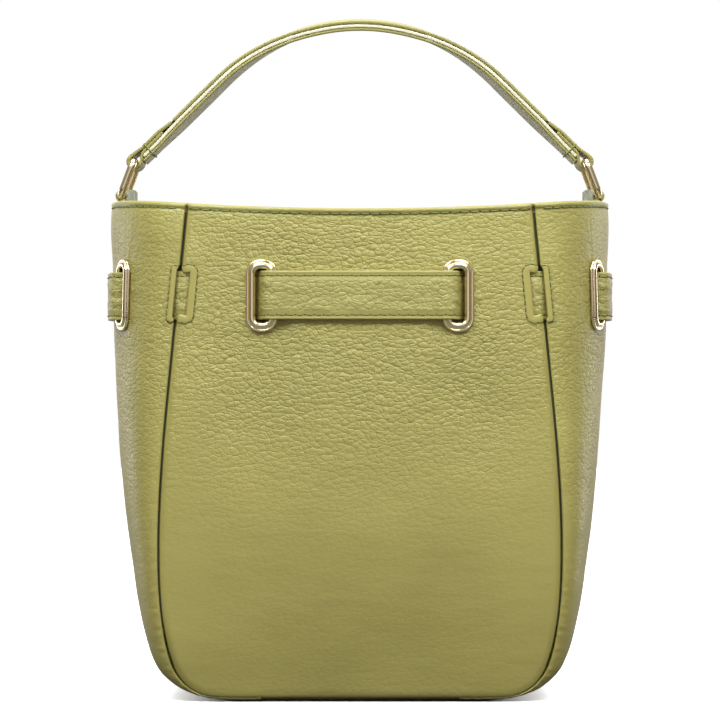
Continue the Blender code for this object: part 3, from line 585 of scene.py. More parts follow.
class Surface:
    """A Principled BSDF with helpers to drive its inputs from nodes."""

    def __init__(self, name, colour, roughness, metallic=0.0):
        self.material = bpy.data.materials.new(name)
        self.material.use_nodes = True
        self.nodes = self.material.node_tree.nodes
        self.shader = self.nodes["Principled BSDF"]
        self.shader.inputs["Base Color"].default_value = (*colour, 1)
        self.shader.inputs["Roughness"].default_value = roughness
        self.shader.inputs["Metallic"].default_value = metallic
        self.material.diffuse_color = (*colour, 1)
        self.place = self.nodes.new("ShaderNodeTexCoord").outputs["Object"]
        self.bump_end = None

    def link(self, start, end):
        self.material.node_tree.links.new(start, end)

    def noise(self, scale, detail=2.0, rough=0.5):
        node = self.nodes.new("ShaderNodeTexNoise")
        node.inputs["Scale"].default_value = scale
        node.inputs["Detail"].default_value = detail
        node.inputs["Roughness"].default_value = rough
        self.link(self.place, node.inputs["Vector"])
        return node.outputs["Fac"]

    def cells(self, scale, feature="F1", place=None):
        node = self.nodes.new("ShaderNodeTexVoronoi")
        node.feature = feature
        node.inputs["Scale"].default_value = scale
        self.link(place or self.place, node.inputs["Vector"])
        return node.outputs["Distance"]

    def vector(self, operation, *values):
        node = self.nodes.new("ShaderNodeVectorMath")
        node.operation = operation
        for slot, value in enumerate(values):
            if isinstance(value, tuple):
                node.inputs[slot].default_value = value
            else:
                self.link(value, node.inputs[slot])
        return node.outputs[0]

    def ramp(self, value, low, high, from_low=0.0, from_high=1.0):
        node = self.nodes.new("ShaderNodeMapRange")
        for slot, amount in (("From Min", from_low), ("From Max", from_high),
                             ("To Min", low), ("To Max", high)):
            node.inputs[slot].default_value = amount
        self.link(value, node.inputs["Value"])
        return node.outputs["Result"]

    def attribute(self, name):
        node = self.nodes.new("ShaderNodeAttribute")
        node.attribute_name = name
        return node.outputs["Fac"]

    def mix(self, factor, first, second):
        node = self.nodes.new("ShaderNodeMix")
        node.data_type = "RGBA"
        self.link(factor, node.inputs["Factor"])
        for slot, value in ((6, first), (7, second)):
            if isinstance(value, tuple):
                node.inputs[slot].default_value = (*value, 1)
            else:
                self.link(value, node.inputs[slot])
        return node.outputs[2]

    def add(self, first, second, operation="ADD"):
        node = self.nodes.new("ShaderNodeMath")
        node.operation = operation
        for slot, value in ((0, first), (1, second)):
            if isinstance(value, (int, float)):
                node.inputs[slot].default_value = value
            else:
                self.link(value, node.inputs[slot])
        return node.outputs[0]

    def bump(self, height, depth, strength=1.0):
        """Depth in metres."""
        node = self.nodes.new("ShaderNodeBump")
        node.inputs["Distance"].default_value = depth
        node.inputs["Strength"].default_value = strength
        self.link(height, node.inputs["Height"])
        if self.bump_end is not None:
            self.link(self.bump_end, node.inputs["Normal"])
        self.bump_end = node.outputs["Normal"]
        self.link(self.bump_end, self.shader.inputs["Normal"])

    def colour(self, value):
        self.link(value, self.shader.inputs["Base Color"])

    def roughness(self, value):
        self.link(value, self.shader.inputs["Roughness"])


def leather_surface(name, light, groove_shade, darkening):
    """Grained leather.  Marks give the grain's depth and a darkening of its colour, mostly painted
    shade.
    """
    rough = 0.36
    made = Surface(name, light, rough)
    grain_mark, darkening_mark = made.attribute("grain"), made.attribute("darkening")
    place = made.place
    for scale, reach in ((75, 0.0030), (420, 0.0010)):
        sway = made.nodes.new("ShaderNodeTexNoise")
        sway.inputs["Scale"].default_value = scale
        made.link(made.place, sway.inputs["Vector"])
        place = made.vector("MULTIPLY_ADD", sway.outputs["Color"], (reach,) * 3, place)
    place = made.vector("MULTIPLY", place, (0.80, 0.80, 1.25))
    reach = made.cells(480, "F1", place)
    dome = made.add(1.0, made.add(reach, reach, "MULTIPLY"), "SUBTRACT")
    groove = made.ramp(made.cells(480, "DISTANCE_TO_EDGE", place), 0, 1, 0.0, 0.14)
    small_reach = made.cells(1150, "F1", place)
    small = made.add(small_reach, small_reach, "MULTIPLY")
    relief = made.add(made.add(dome, 1.6, "MULTIPLY"), made.add(groove, 0.5, "MULTIPLY"))
    relief = made.add(relief, made.add(small, -0.45, "MULTIPLY"))
    made.bump(made.add(relief, grain_mark, "MULTIPLY"), 0.00036)
    made.bump(made.noise(2600, 2), 0.00003)
    drift = made.ramp(made.noise(28, 3), 0.0, 1.0, 0.3, 0.7)
    base = made.mix(drift, tuple(c * 0.96 for c in light), tuple(min(c * 1.04, 1) for c in light))
    # Painted shade: in the grain's grooves the colour turns towards the second colour.
    low = made.add(made.add(1.0, groove, "SUBTRACT"), grain_mark, "MULTIPLY")
    base = made.mix(made.add(low, 0.35, "MULTIPLY"), base, groove_shade)
    # The darkening mark mixes in the third colour: painted shade, and on the handle's sides their
    # edge paint.
    made.colour(made.mix(made.add(darkening_mark, 0.7, "MULTIPLY"), base, darkening))
    made.roughness(made.add(made.ramp(made.noise(240, 2), rough - 0.05, rough + 0.06),
                            made.add(low, 0.2, "MULTIPLY")))
    return made.material


def make_metal():
    made = Surface("polished_pale_gold", (0.97, 0.84, 0.58), 0.16, 1.0)
    made.roughness(made.ramp(made.noise(150, 3), 0.12, 0.20))
    return made.material


def plain_surface(name, colour, rough, patches, shades, fine, depth, detail=3, harsh=0.5):
    """A matt surface that drifts between two shades, with a fine roughness in relief."""
    made = Surface(name, colour, rough)
    made.colour(made.mix(made.noise(patches, detail, harsh), *shades))
    made.bump(made.noise(fine, detail, harsh), depth)
    return made


def make_thread():
    made = plain_surface("thread", (0.22, 0.23, 0.07), 0.8, 1500,
                         ((0.16, 0.17, 0.045), (0.30, 0.31, 0.10)), 3500, 0.00008, detail=2)
    made.shader.inputs["Specular IOR Level"].default_value = 0.2
    return made.material


def make_cloth():
    """A fine plain weave, as two crossing sets of ridges."""
    made = Surface("lining_cloth", (0.50, 0.42, 0.29), 0.85)
    heights = []
    for direction in ("X", "Z"):
        wave = made.nodes.new("ShaderNodeTexWave")
        wave.bands_direction = direction
        wave.inputs["Scale"].default_value = 420
        wave.inputs["Distortion"].default_value = 1.5
        made.link(made.place, wave.inputs["Vector"])
        heights.append(wave.outputs["Fac"])
    weave = made.add(heights[0], heights[1], "MULTIPLY")
    made.bump(weave, 0.00012)
    made.colour(made.mix(made.noise(60, 3), (0.46, 0.38, 0.26), (0.55, 0.47, 0.33)))
    made.shader.inputs["Sheen Weight"].default_value = 0.25
    return made.material


# Near-black: painted shade in the needle holes and deep in the seams.
HOLE_SHADE = Surface("hole_and_seam_shade", (0.03, 0.028, 0.012), 0.9).material
# Colours: the leather's own, its painted shade in the grain's grooves, and what the darkening mark
# mixes in.
LEATHER = leather_surface("leather", (0.425, 0.341, 0.106), (0.25, 0.220, 0.050),
                          (0.12, 0.105, 0.025))
BELT_LEATHER = leather_surface("belt_leather", (0.430, 0.350, 0.118), (0.26, 0.232, 0.055),
                               (0.13, 0.115, 0.025))
METAL = make_metal()
THREAD_GREEN = make_thread()
CORE = plain_surface("edge_core", (0.78, 0.66, 0.50), 0.55, 500,
                     ((0.72, 0.60, 0.44), (0.84, 0.74, 0.60)), 1800, 0.00002).material
FLESH = plain_surface("flesh_side", (0.86, 0.86, 0.80), 0.85, 700,
                      ((0.70, 0.70, 0.64), (0.80, 0.80, 0.75)), 2200, 0.00004, 4, 0.7).material
FILLER = plain_surface("raw_filler", (0.42, 0.42, 0.35), 0.85, 700,
                       ((0.34, 0.34, 0.28), (0.52, 0.52, 0.44)), 1500, 0.00015, 4, 0.7).material
CLOTH = make_cloth()


# ---- leather body --------------------------------------------------------

HALF = 2 * QUARTER


def eyelet_travels():
    """Name and distance round the bag of each eyelet."""
    front, side = FRONT_EYELET_TRAVEL, SIDE_EYELET_TRAVEL
    return {"front_right": front, "side_right_front": side, "side_right_back": HALF - side,
            "back_right": HALF - front, "front_left": -front, "side_left_front": -side,
            "side_left_back": side - HALF, "back_left": front - HALF}


def fold_rows(curve, end, step, shrink):
    """Rows of a skin: up inside the rim, over its fold and down the outer face.

    Each row is a station, an inset and a lift; shrink makes light of sideways travel."""
    start = float(station_at(SEAM[0][1] - FOLD))
    inner = np.linspace(float(station_at(FACING_BOTTOM)), start, 14)
    turn = np.linspace(0, pi, 10)[1:-1]
    fine = np.linspace(start, end, 1200)
    path = inward(curve, fine, 0) * (shrink, 1)
    along = lengths(path)
    outer = np.interp(np.linspace(0, along[-1], ceil(along[-1] / step)), along, fine)
    station = np.concatenate((inner, np.full(len(turn), start), outer))
    inset = np.concatenate((np.full(len(inner), 2 * FOLD), FOLD * (1 + np.cos(turn)),
                            np.zeros(len(outer))))
    lift = np.concatenate((np.zeros(len(inner)), FOLD * np.sin(turn), np.zeros(len(outer))))
    first_outer = len(inner) + len(turn)
    return station[:, None], inset[:, None], lift[:, None], first_outer


def surface_lengths(grid, first_outer):
    """Distances over a skin: across from its middle column, and down from the rim's outer edge."""
    over = np.linalg.norm(np.diff(grid, axis=1), axis=-1)
    across = np.concatenate((np.zeros((len(grid), 1)), np.cumsum(over, axis=1)), axis=1)
    down = np.linalg.norm(np.diff(grid, axis=0), axis=-1).mean(axis=1)
    along = np.concatenate(([0.0], np.cumsum(down)))
    along -= along[first_outer]
    across -= across[:, [across.shape[1] // 2]]
    return across, np.broadcast_to(along[:, None], across.shape)


EYELET_SPARE, WINDOW_SPARE = 1.5, 0.7       # how far the leather stops from each opening


def on_eyelet(spot, travel):
    """Points seen from an eyelet: x along the belt, y inwards, z up."""
    matrix = wall_matrix(travel)
    return (spot - matrix[:3, 3]) @ matrix[:3, :3]


def hole_mask(grid, turned_back):
    """Points of a skin that an eyelet or a seam window takes away."""
    gone = np.zeros(grid.shape[:2], bool)
    spot = grid * (-1, -1, 1) if turned_back else grid
    for travel in eyelet_travels().values():
        local = on_eyelet(spot, travel)
        sides = (side + EYELET_SPARE for side in HOLE)
        inside = outside_rounded(local[..., 0], local[..., 2], *sides) < 0
        gone |= inside & (np.abs(local[..., 1]) < 4)
    window = outside_rounded(np.abs(spot[..., 0]) - WINDOW_X, spot[..., 2] - BELT_Z,
                             WINDOW_HALF_WIDTH + WINDOW_SPARE,
                             WINDOW_HALF_HEIGHT + WINDOW_SPARE, 2.0) < 0
    return gone | (window & (np.abs(spot[..., 1]) > 40))


def pucker(spot, depth):
    """Small folds in the leather that spread from each eyelet."""
    total = np.zeros(spot.shape[:2])
    for number, travel in enumerate(eyelet_travels().values()):
        local = on_eyelet(spot, travel)
        x, z = local[..., 0], local[..., 2]
        gap = outside_rounded(x, z, 6.2, 14.4, 5.5)
        angle = np.arctan2(z * 0.6, x)
        wave = np.cos(11 * angle + number) + 0.6 * np.cos(17 * angle + 2 * number)
        near = np.exp(-np.maximum(gap, 0) / 5.5) * (np.abs(local[..., 1]) < 8)
        total += depth * wave * near * fade((gap + 1) / 3)
    return total


def rim_relief(down):
    """The stitched groove under the rim's fold, and the slight swell above it."""
    groove = -0.5 * np.exp(-((down - RIM_GROOVE) / 0.6) ** 2)
    return groove + 0.12 * np.exp(-((down - RIM_GROOVE + 2.2) / 1.0) ** 2) - 0.18 * np.exp(
        -np.abs(down - RIM_GROOVE - 1.6) / 2.0) * (down > RIM_GROOVE)


def skin(name, grid, first_outer, dip, strength, seed, nodes, from_seam, turned_back=False):
    """A thick leather skin with pebbled grain, rolled seam edges, holes and a stitched rim."""
    normals = grid_normals(grid)
    over, down = surface_lengths(grid, first_outer)
    level, darkening = grain(over, down, PEBBLE, seed)
    dip = dip * fade((down + 2.2) / 2.2)
    calm = np.exp(-np.maximum(dip, 0) / 0.5)
    outside = fade((down + 1.0) / 4.0)
    strength = strength * (0.25 + 0.75 * outside) * calm
    height = 0.22 * strength * level
    spot = grid * (-1, -1, 1) if turned_back else grid
    off_belt = fade((np.abs(spot[..., 2] - BELT_Z) - 11) / 16)
    soft = soft_noise(over, down, 34, seed + 20) * 0.7
    soft = soft + soft_noise(over, down, 15, seed + 21) * 0.16
    height = height + soft * off_belt * outside * calm - 0.12 * outside
    height = height + soft_noise(over * 0.35, down, 3.4, seed + 22) * 0.05 * calm * outside
    height = height + np.minimum(pucker(spot, 0.15), 0.16) * calm
    height = height + rim_relief(down) * calm
    base = grid - normals * dip[..., None]
    outer = base + normals * height[..., None]
    back = base - normals * SKIN
    gone = hole_mask(grid, turned_back)
    if turned_back:
        outer, back = outer * (-1, -1, 1), back * (-1, -1, 1)
    keep = ~(gone[:-1, :-1] | gone[1:, :-1] | gone[1:, 1:] | gone[:-1, 1:])
    # Painted shade, summed into the darkening mark: in the grain's grooves, in the rim's stitched
    # groove,
    # on the folded rim band above it, where a seam's dip runs deep, along the bottom edges and the
    # seams' lowest parts.
    rim_shade = 0.3 * fade(down + 1.6) * (down < RIM_GROOVE)
    groove = np.exp(-((down - RIM_GROOVE) / 0.5) ** 2)
    foot_shade = fade((3.0 - grid[..., 2]) / 2) * (np.abs(grid[..., 1]) > 44)
    joint_shade = 1.3 * np.exp(-(from_seam / 0.45) ** 2) * fade((40 - grid[..., 2]) / 20)
    shade = darkening * strength * 0.3 + groove + rim_shade + 1.3 * (dip > 0.9) + foot_shade + joint_shade
    made = thick_sheet(name, outer, back, keep, LEATHER, {"darkening": shade, "grain": strength})
    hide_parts(*nodes)
    return made


RIM_STITCH_STATION = float(station_at(SEAM[0][1] - 2.5))
RIM_GROOVE = 0.8


def panel_grid():
    station, inset, lift, first_outer = fold_rows(SEAM, PANEL_LAST_STATION, SKIN_STEP, 0.35)
    across = even_steps(2.0, SKIN_STEP / 78, 0.28 / 78, 3.0 / 78) - 1.0
    return panel_point(station, across[None], inset, lift), first_outer


def outline_distance(grid):
    """Distance from each point of the front panel to its seam line."""
    line = inward(SEAM, np.linspace(0, PANEL_LAST_STATION, 260), 0)
    x, z = np.abs(grid[..., 0]), grid[..., 2]
    slope = np.interp(-z, -HEIGHT_TABLE, inward(SEAM, STATION_TABLE, 0)[:, 0]) - x
    low = z < 30
    spots = np.stack((x[low], z[low]), -1)
    near = np.full(len(spots), 99.0)
    for start, end in zip(line, line[1:]):
        step = end - start
        share = np.clip(((spots - start) @ step) / (step @ step), 0, 1)
        near = np.minimum(near, np.linalg.norm(spots - start - share[:, None] * step, axis=1))
    bottom = spots[:, 1] - line[-1][1]
    slope[low] = np.minimum(near, np.where(spots[:, 0] < line[-1][0], np.abs(bottom), 99.0))
    return np.maximum(slope, 0)


def seam_ripples(distance, along, z):
    """Small gathers beside a seam, strongest round the bottom corners."""
    wave = np.cos(along * 1.35) + 0.6 * np.cos(along * 2.1 + 1.0)
    fine = np.cos(along * 4.2) * np.exp(-np.abs(distance - 1.2) / 0.9) * 0.5
    near = np.exp(-np.abs(distance - 1.8) / 2.0)
    return 0.10 * (wave * near + fine) * fade((80 - z) / 60)


def make_panels():
    grid, first_outer = panel_grid()
    distance = outline_distance(grid)
    z = grid[..., 2]
    sink = 0.3 + 0.7 * fade((z - 2) / 14)
    dip = panel_dip(distance) * np.where(distance < 0.05, 1.0, sink)
    x = grid[..., 0]
    strength = 0.10 + 0.40 * fade((z - 50) / 90)
    strength = strength + 0.15 * np.exp(-((x + 12) / 40) ** 4) * fade((z - 160) / 14)
    strength = strength + 0.12 * np.exp(-((z - 142) / 22) ** 2)
    strength = strength * (1 - 0.35 * fade((np.abs(x) - 50) / 24))
    for name, turned_back, seed in (("front", False, 3), ("back", True, 103)):
        skin(name + "_skin", grid, first_outer, dip, strength, seed,
             [name + "_panel", "rim_facing_" + name], distance, turned_back)
        make_rim_stitches(name, turned_back, False)


def gusset_columns():
    """Places along a gusset, evenly spaced at the belt and closer together by the seams."""
    fine = np.linspace(0, 1, 2001)
    along = lengths(gusset_point(2.0, fine))
    return np.interp(even_steps(along[-1], SKIN_STEP, 0.28, 3.0), along, fine)


def end_roll(distance, edge, radius=0.8):
    """The turned ends of the gussets and the base, under the bag only."""
    near = np.clip(radius - distance, 0, radius)
    return (radius - np.sqrt(radius ** 2 - near ** 2)) * fade((edge - 8) / 4)


def make_gussets():
    station, inset, lift, first_outer = fold_rows(OUTER, LAST_STATION, SKIN_STEP, 1.0)
    grid = gusset_point(station, gusset_columns()[None], inset, lift)
    over, down = surface_lengths(grid, first_outer)
    edge = np.minimum(over - over[:, :1], over[:, -1:] - over)
    z = grid[..., 2]
    below_ring = np.exp(-((np.abs(grid[..., 1]) - RING_HALF_WIDTH) / 5) ** 4)
    grid[..., 2] = z - 0.5 * below_ring * fade((z - z[first_outer] + 7) / 5)
    dip = gusset_dip(edge)
    dip = np.where(dip < 0, dip * fade((z - 4) / 30), dip)
    dip = np.maximum(dip, end_roll(down[-1:] - down, edge))
    ripples = seam_ripples(edge, down, z)
    strength = 0.10 + 0.18 * fade((z - 40) / 110) + 0.1 * np.exp(-((z - 147) / 30) ** 2)
    for name, turned_back, seed in (("right", False, 53), ("left", True, 153)):
        skin("gusset_%s_skin" % name, grid + grid_normals(grid) * ripples[..., None], first_outer,
             dip, strength, seed, ["gusset_" + name, "rim_facing_" + name], edge, turned_back)
        make_rim_stitches(name, turned_back, True)


def make_seam_shade():
    """Near-black tubes deep in each seam: painted shade that closes the seam from behind."""
    window = WINDOW_HALF_HEIGHT + 2.0
    spans = {"upper": (SEAM[0][1] - 4.0, BELT_Z + window), "lower": (BELT_Z - window, 30.0)}
    for part, (top, bottom) in spans.items():
        station = np.linspace(float(station_at(top)), float(station_at(bottom)), 120)
        line = panel_point(station, np.ones(len(station))) + np.array((-0.3, 2.0, 0.0))
        for name, side, facing in (("front_right", 1, 1), ("front_left", -1, 1),
                                   ("back_right", 1, -1), ("back_left", -1, -1)):
            tube("seam_shade_%s_%s" % (part, name), line * (side, facing, 1), 0.75, HOLE_SHADE,
                 "bag", sides=8)


def make_rim_stitches(name, turned_back, gusset):
    across = np.linspace(0.012, 0.988, 240)
    if gusset:
        line = gusset_point(RIM_STITCH_STATION, 0.03 + 0.94 * across)
        beside = gusset_point(RIM_STITCH_STATION, np.linspace(0.03, 0.97, 240), 1.0)
    else:
        line = panel_point(RIM_STITCH_STATION, across * 2 - 1)
        beside = panel_point(RIM_STITCH_STATION, across * 2 - 1, 1.0)
    outward = unit(line - beside)
    line = line - outward * 0.42
    if turned_back:
        line, outward = line * (-1, -1, 1), outward * (-1, -1, 1)
    stitches("rim_stitches_" + name, [(line, outward)], RIM_PITCH)


def make_base():
    """The base skin, with the gussets' own cross-section carried on under the bag."""
    rows = np.linspace(BASE_END, -BASE_END, 115)[:, None]
    columns = gusset_columns()[None, ::2]
    end = gusset_point(LAST_STATION, columns)
    grid = np.broadcast_to(end, (len(rows),) + end.shape[1:]).copy()
    grid[..., 0] = rows
    over, down = surface_lengths(grid, 0)
    edge = np.minimum(over - over[:, :1], over[:, -1:] - over)
    dip = np.maximum(turned_in(edge, 3.0, 1.9),
                     end_roll(np.minimum(down, down[-1:] - down), edge))
    level, darkening = grain(over, down, PEBBLE, 77)
    normals = grid_normals(grid)
    base = grid - normals * dip[..., None]
    outer = base + normals * (0.05 * level)[..., None]
    keep = np.ones((len(rows) - 1, columns.shape[1] - 1), bool)
    # Painted shade: darker in the grain's grooves and along the base's turned edges.
    made = thick_sheet("base_skin", outer, base - normals * SKIN, keep, LEATHER,
                       {"darkening": darkening * 0.2 + 1.4 * fade((4 - edge) / 3),
                        "grain": np.full(level.shape, 0.3)})
    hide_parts("base_panel")


# ---- belt ----------------------------------------------------------------

def corner_path(points, radius, steps=6):
    """An open path with its corners rounded."""
    path = [np.array(points[0], float)]
    for before, corner, after in zip(points, points[1:], points[2:]):
        before, corner, after = (np.array(point, float) for point in (before, corner, after))
        room = min(np.linalg.norm(before - corner), np.linalg.norm(after - corner)) * 0.48
        start = corner + unit(before - corner) * min(radius, room)
        end = corner + unit(after - corner) * min(radius, room)
        for step in range(steps + 1):
            t = step / steps
            path.append((1 - t) ** 2 * start + 2 * t * (1 - t) * corner + t * t * end)
    path.append(np.array(points[-1], float))
    return np.array(path)


def eyelet_keys(at, heading):
    """The strap's way in through an eyelet; heading is 1 where it goes in as the travel grows."""
    keys = [(-10.5, BELT_OUT), (-7.0, BELT_OVER), (-1.5, BELT_OVER),
            (1.5, BELT_UNDER), (6.0, BELT_UNDER), (10, BELT_IN)]
    return [(at + heading * along, offset) for along, offset in keys][::heading]


def window_keys(at):
    keys = [(-3.9, BELT_IN), (-1.9, BELT_WINDOW), (1.4, BELT_WINDOW), (3.3, BELT_IN)]
    return [(at + along, offset) for along, offset in keys]


def belt_keys():
    """Corners of the strap's path as (travel, offset), from the back's left eyelet to its right."""
    quarter = (eyelet_keys(FRONT_EYELET_TRAVEL, 1) + window_keys(WINDOW_TRAVEL)
               + eyelet_keys(SIDE_EYELET_TRAVEL, -1))
    right = quarter + [(HALF - at, offset) for at, offset in quarter[::-1]]
    return [(-at, offset) for at, offset in right[::-1]] + right


def fold_round_bar():
    """The strap's end folded round the buckle's bar, as (travel from the back's middle, offset)."""
    radius = BUCKLE_WIRE + BAR_ROOM + BELT / 2
    turn = [(radius * cos(angle), BUCKLE_OFFSET + radius * sin(angle))
            for angle in np.linspace(-pi / 2, pi / 2, 13)]
    path = [(-FOLD_END_X + BUCKLE_BAR_X, BELT_OUT), (-4.5, BELT_OUT)] + turn
    path += [(-4.5, BELT_OUT + BELT + 1.6), (-8.0, BELT_OUT + BELT + CONTACT_GAP),
             (-12.0, KEEPER_LEVEL), (-18.0, KEEPER_LEVEL)]
    return [(along - BUCKLE_BAR_X, offset) for along, offset in path]


def tail_over_buckle():
    over = BUCKLE_OFFSET + BUCKLE_WIRE + BAR_ROOM + BELT + BAR_ROOM + BELT / 2
    level = KEEPER_LEVEL + BELT + 0.5
    return [(16.0, BELT_OUT), (8.5, BELT_OUT), (-5.5, over), (-11.5, over), (-18.5, level + 0.5),
            (-24.0, level), (-TAIL_END_X, level)]


def on_plan(keys):
    """Plan points of a path given as (travel, offset)."""
    travel, offset = keys[:, 0], keys[:, 1]
    place, ahead, _, _ = wall_frame(travel, np.full(len(travel), BELT_Z))
    ahead = unit(ahead * (1, 1, 0))
    outward = np.cross(ahead, (0.0, 0.0, 1.0))
    return (place + outward * offset[:, None])[:, :2]


def belt_path():
    keys = [(-HALF - at, offset) for at, offset in fold_round_bar()]
    keys += belt_keys()
    keys += [(HALF - at, offset) for at, offset in tail_over_buckle()]
    path = resampled(corner_path(keys, 1.6), 0.7)
    return smoothed(on_plan(path), 4)


BELT_STITCH_Z = 7.9         # from the strap's middle to a stitch line


def belt_groove(across):
    """Height taken off the strap's face: two stitched channels, and edges pressed thin."""
    channel = 0.28 * np.exp(-((np.abs(across) - BELT_STITCH_Z) / 0.55) ** 2)
    return channel + 0.18 * fade((np.abs(across) - BELT_STITCH_Z) / 2.0)


def make_belt():
    path = belt_path()
    along = lengths(path)
    ahead = unit(np.gradient(path, axis=0))
    side = np.stack((ahead[:, 1], -ahead[:, 0], np.zeros(len(ahead))), -1)
    centres = np.column_stack((path, np.full(len(path), BELT_Z - BELT_DROP)))
    up = np.broadcast_to((0.0, 0.0, 1.0), centres.shape)
    columns = 31
    section = strap_section(BELT_WIDTH / 2, BELT, columns, groove=belt_groove)
    rings = np.repeat(section[None], len(path), axis=0)
    across = section[:columns, 0]
    grid_along = np.broadcast_to(along[:, None], (len(path), columns))
    grid_across = np.broadcast_to(across, (len(path), columns))
    level, darkening = grain(grid_along, grid_across, PEBBLE * 1.05, 31)
    inside = fade((7.0 - np.abs(grid_across)) / 1.5)
    wrinkle = soft_noise(grid_along + grid_across * 0.8, grid_across * 3.0, 9.0, 33) * 0.2
    gone = fade(np.abs(curve_of(path)) * 6)[:, None]
    crinkle = np.sin(grid_across * 1.25 + soft_noise(grid_along, grid_across, 8, 35) * 2.4) * 0.16
    rings[:, :columns, 1] += (level * 0.08 + 0.03 + wrinkle) * inside - crinkle * gone * inside
    points = sweep(centres, up, side, rings)
    belt = lofted("belt", points, BELT_LEATHER)
    # Painted shade: darker in the grain's grooves and in the two stitched channels.
    marks = np.zeros((len(path), section.shape[0]), np.float32)
    marks[:, :columns] = darkening * inside * 0.15
    marks[:, :columns] += np.exp(-((np.abs(grid_across) - BELT_STITCH_Z) / 0.5) ** 2) * 0.3
    mark_points(belt, "darkening", marks)
    grained = np.full(marks.shape, 0.05, np.float32)
    grained[:, :columns] += 0.4 * inside
    mark_points(belt, "grain", grained)
    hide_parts("belt_strap")
    threads = []
    for level_z in (-BELT_STITCH_Z, BELT_STITCH_Z):
        line = centres + side * (BELT / 2 - 0.22) + up * level_z
        threads.append((line[6:-6], side[6:-6]))
    stitches("belt_stitches", threads, BELT_PITCH)


def mark_points(made, mark, values):
    made.data.attributes.new(mark, "FLOAT", "POINT").data.foreach_set("value", values.reshape(-1))


def curve_of(path):
    """How sharply a plan path bends, in radians from one point to the next."""
    ahead = unit(np.gradient(path, axis=0))
    bend = np.gradient(np.unwrap(np.arctan2(ahead[:, 1], ahead[:, 0])))
    for _ in range(6):
        bend[1:-1] = bend[1:-1] * 0.5 + (bend[:-2] + bend[2:]) * 0.25
    return bend


# ---- metal on the body ---------------------------------------------------

def half_ring(middle, radius, base, rise, steps=8):
    """A rounded ridge of an eyelet's profile, from its inner to its outer foot."""
    angles = np.linspace(pi, 0, steps)
    return [(middle + radius * cos(a), base + rise * sin(a)) for a in angles]


def make_eyelets():
    low = CONTACT_GAP
    profile = [(0.0, -BARREL_DEPTH), (0.0, 0.2)]
    profile += half_ring(1.35, 1.35, low + 0.5, 1.3, 14)
    profile += half_ring(3.2, 0.6, low + 0.35, 0.6)
    profile += [(3.75, low), (BARREL, low), (BARREL, -BARREL_DEPTH)]
    loops = [rounded_rectangle(*(side + out for side in HOLE), 12) for out, _ in profile]
    rings = np.array([[(x, -height, z) for x, z in loop]
                      for loop, (_, height) in zip(loops, profile)])
    for where, travel in eyelet_travels().items():
        made = lofted("eyelet_ring_" + where, placed(rings, wall_matrix(travel)), METAL,
                      closed=True, sharp=50)
        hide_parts("eyelet_" + where)


LIP_X = {"panel": 67.85, "gusset": 76.05}       # middle of each lip, and half its width
LIP_HALF_WIDTH = {"panel": 1.6, "gusset": 1.15}
LIP_REACH, LIP_CORNER = 10.7, 3.0


def make_bindings():
    """A raised leather lip round each half of a seam window, with its own line of stitches."""
    for half, heading in (("panel", 1), ("gusset", -1)):
        travel = float(np.interp(LIP_X[half], PLAN[:, 0], PLAN_LENGTHS))
        for where, at, mirror in (("front_right", travel, 1), ("back_right", HALF - travel, -1),
                                  ("front_left", -travel, -1), ("back_left", travel - HALF, 1)):
            inner = (SEAM_TRAVEL - travel) * heading - 0.9
            corners = [(inner, LIP_REACH - 0.8), (0, LIP_REACH), (0, -LIP_REACH),
                       (inner, -LIP_REACH + 1.0)]
            lip = resampled(corner_path(corners, LIP_CORNER), 0.5)
            make_binding("%s_%s" % (half, where), at, lip * (heading * mirror, 1),
                         LIP_HALF_WIDTH[half])


def make_binding(name, at, lip, half_width):
    """A lip swept along its line; it is highest beside the window and dies out at its stitches."""
    place, _, _, outward = wall_frame(at + lip[:, 0], BELT_Z + lip[:, 1])
    _, dip = wall(at + lip[:, 0], BELT_Z + lip[:, 1])
    place = place - outward * dip[:, None]
    ahead = unit(np.gradient(place, axis=0))
    outward = unit(outward - ahead * (outward * ahead).sum(1)[:, None])
    across = np.cross(ahead, outward)
    middle = len(place) // 2
    if across[middle] @ (place[0] - place[middle]) < 0:
        across = -across
    turn = np.linspace(0, pi, 14)
    section = np.stack((half_width * np.cos(turn), -0.35 + 0.55 * np.sin(turn) ** 0.6), -1)
    edge = half_width + 0.3
    section = np.concatenate((section, [(-edge, -0.35), (-edge, -1.0), (half_width, -1.4)]))
    rings = sweep(place, across, outward, section)
    made = lofted("lip_" + name, rings, LEATHER)
    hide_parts("binding_" + name)
    line = place - across * half_width
    stitches("lip_stitches_" + name, [(line, outward)], BINDING_PITCH, fill=0.7, radius=0.25)


# ---- back buckle ---------------------------------------------------------

def make_buckle():
    """The buckle frame and its prong behind the bag."""
    face = float(half_depth(BELT_Z) + crown(BELT_Z))
    y = face + BUCKLE_OFFSET
    left = -BUCKLE_BAR_X
    outline = rounded_rectangle(BUCKLE_REACH / 2, BUCKLE_HALF_HEIGHT, 2.5, 8)
    path = [(left + x + BUCKLE_REACH / 2, y, BELT_Z + z) for x, z in outline]
    frame_piece = tube("buckle_frame_wire", resampled(path + path[:1], 0.8)[:-1], BUCKLE_WIRE,
                       METAL, "bag", closed=True)
    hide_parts("buckle_frame")
    loop = BUCKLE_WIRE + BAR_ROOM + PRONG_WIRE
    turn = [(loop * cos(a), loop * sin(a)) for a in np.linspace(radians(-100), radians(60), 12)]
    arm = [(3.2, loop + 0.05), (BUCKLE_REACH + 1.4, loop + 0.05)]
    line = resampled(corner_path(turn + arm, 1.0), 0.5)
    prong = tube("prong_wire", [(left + a, y + b, BELT_Z) for a, b in line], PRONG_WIRE,
                 METAL, "prong")
    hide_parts("buckle_prong")


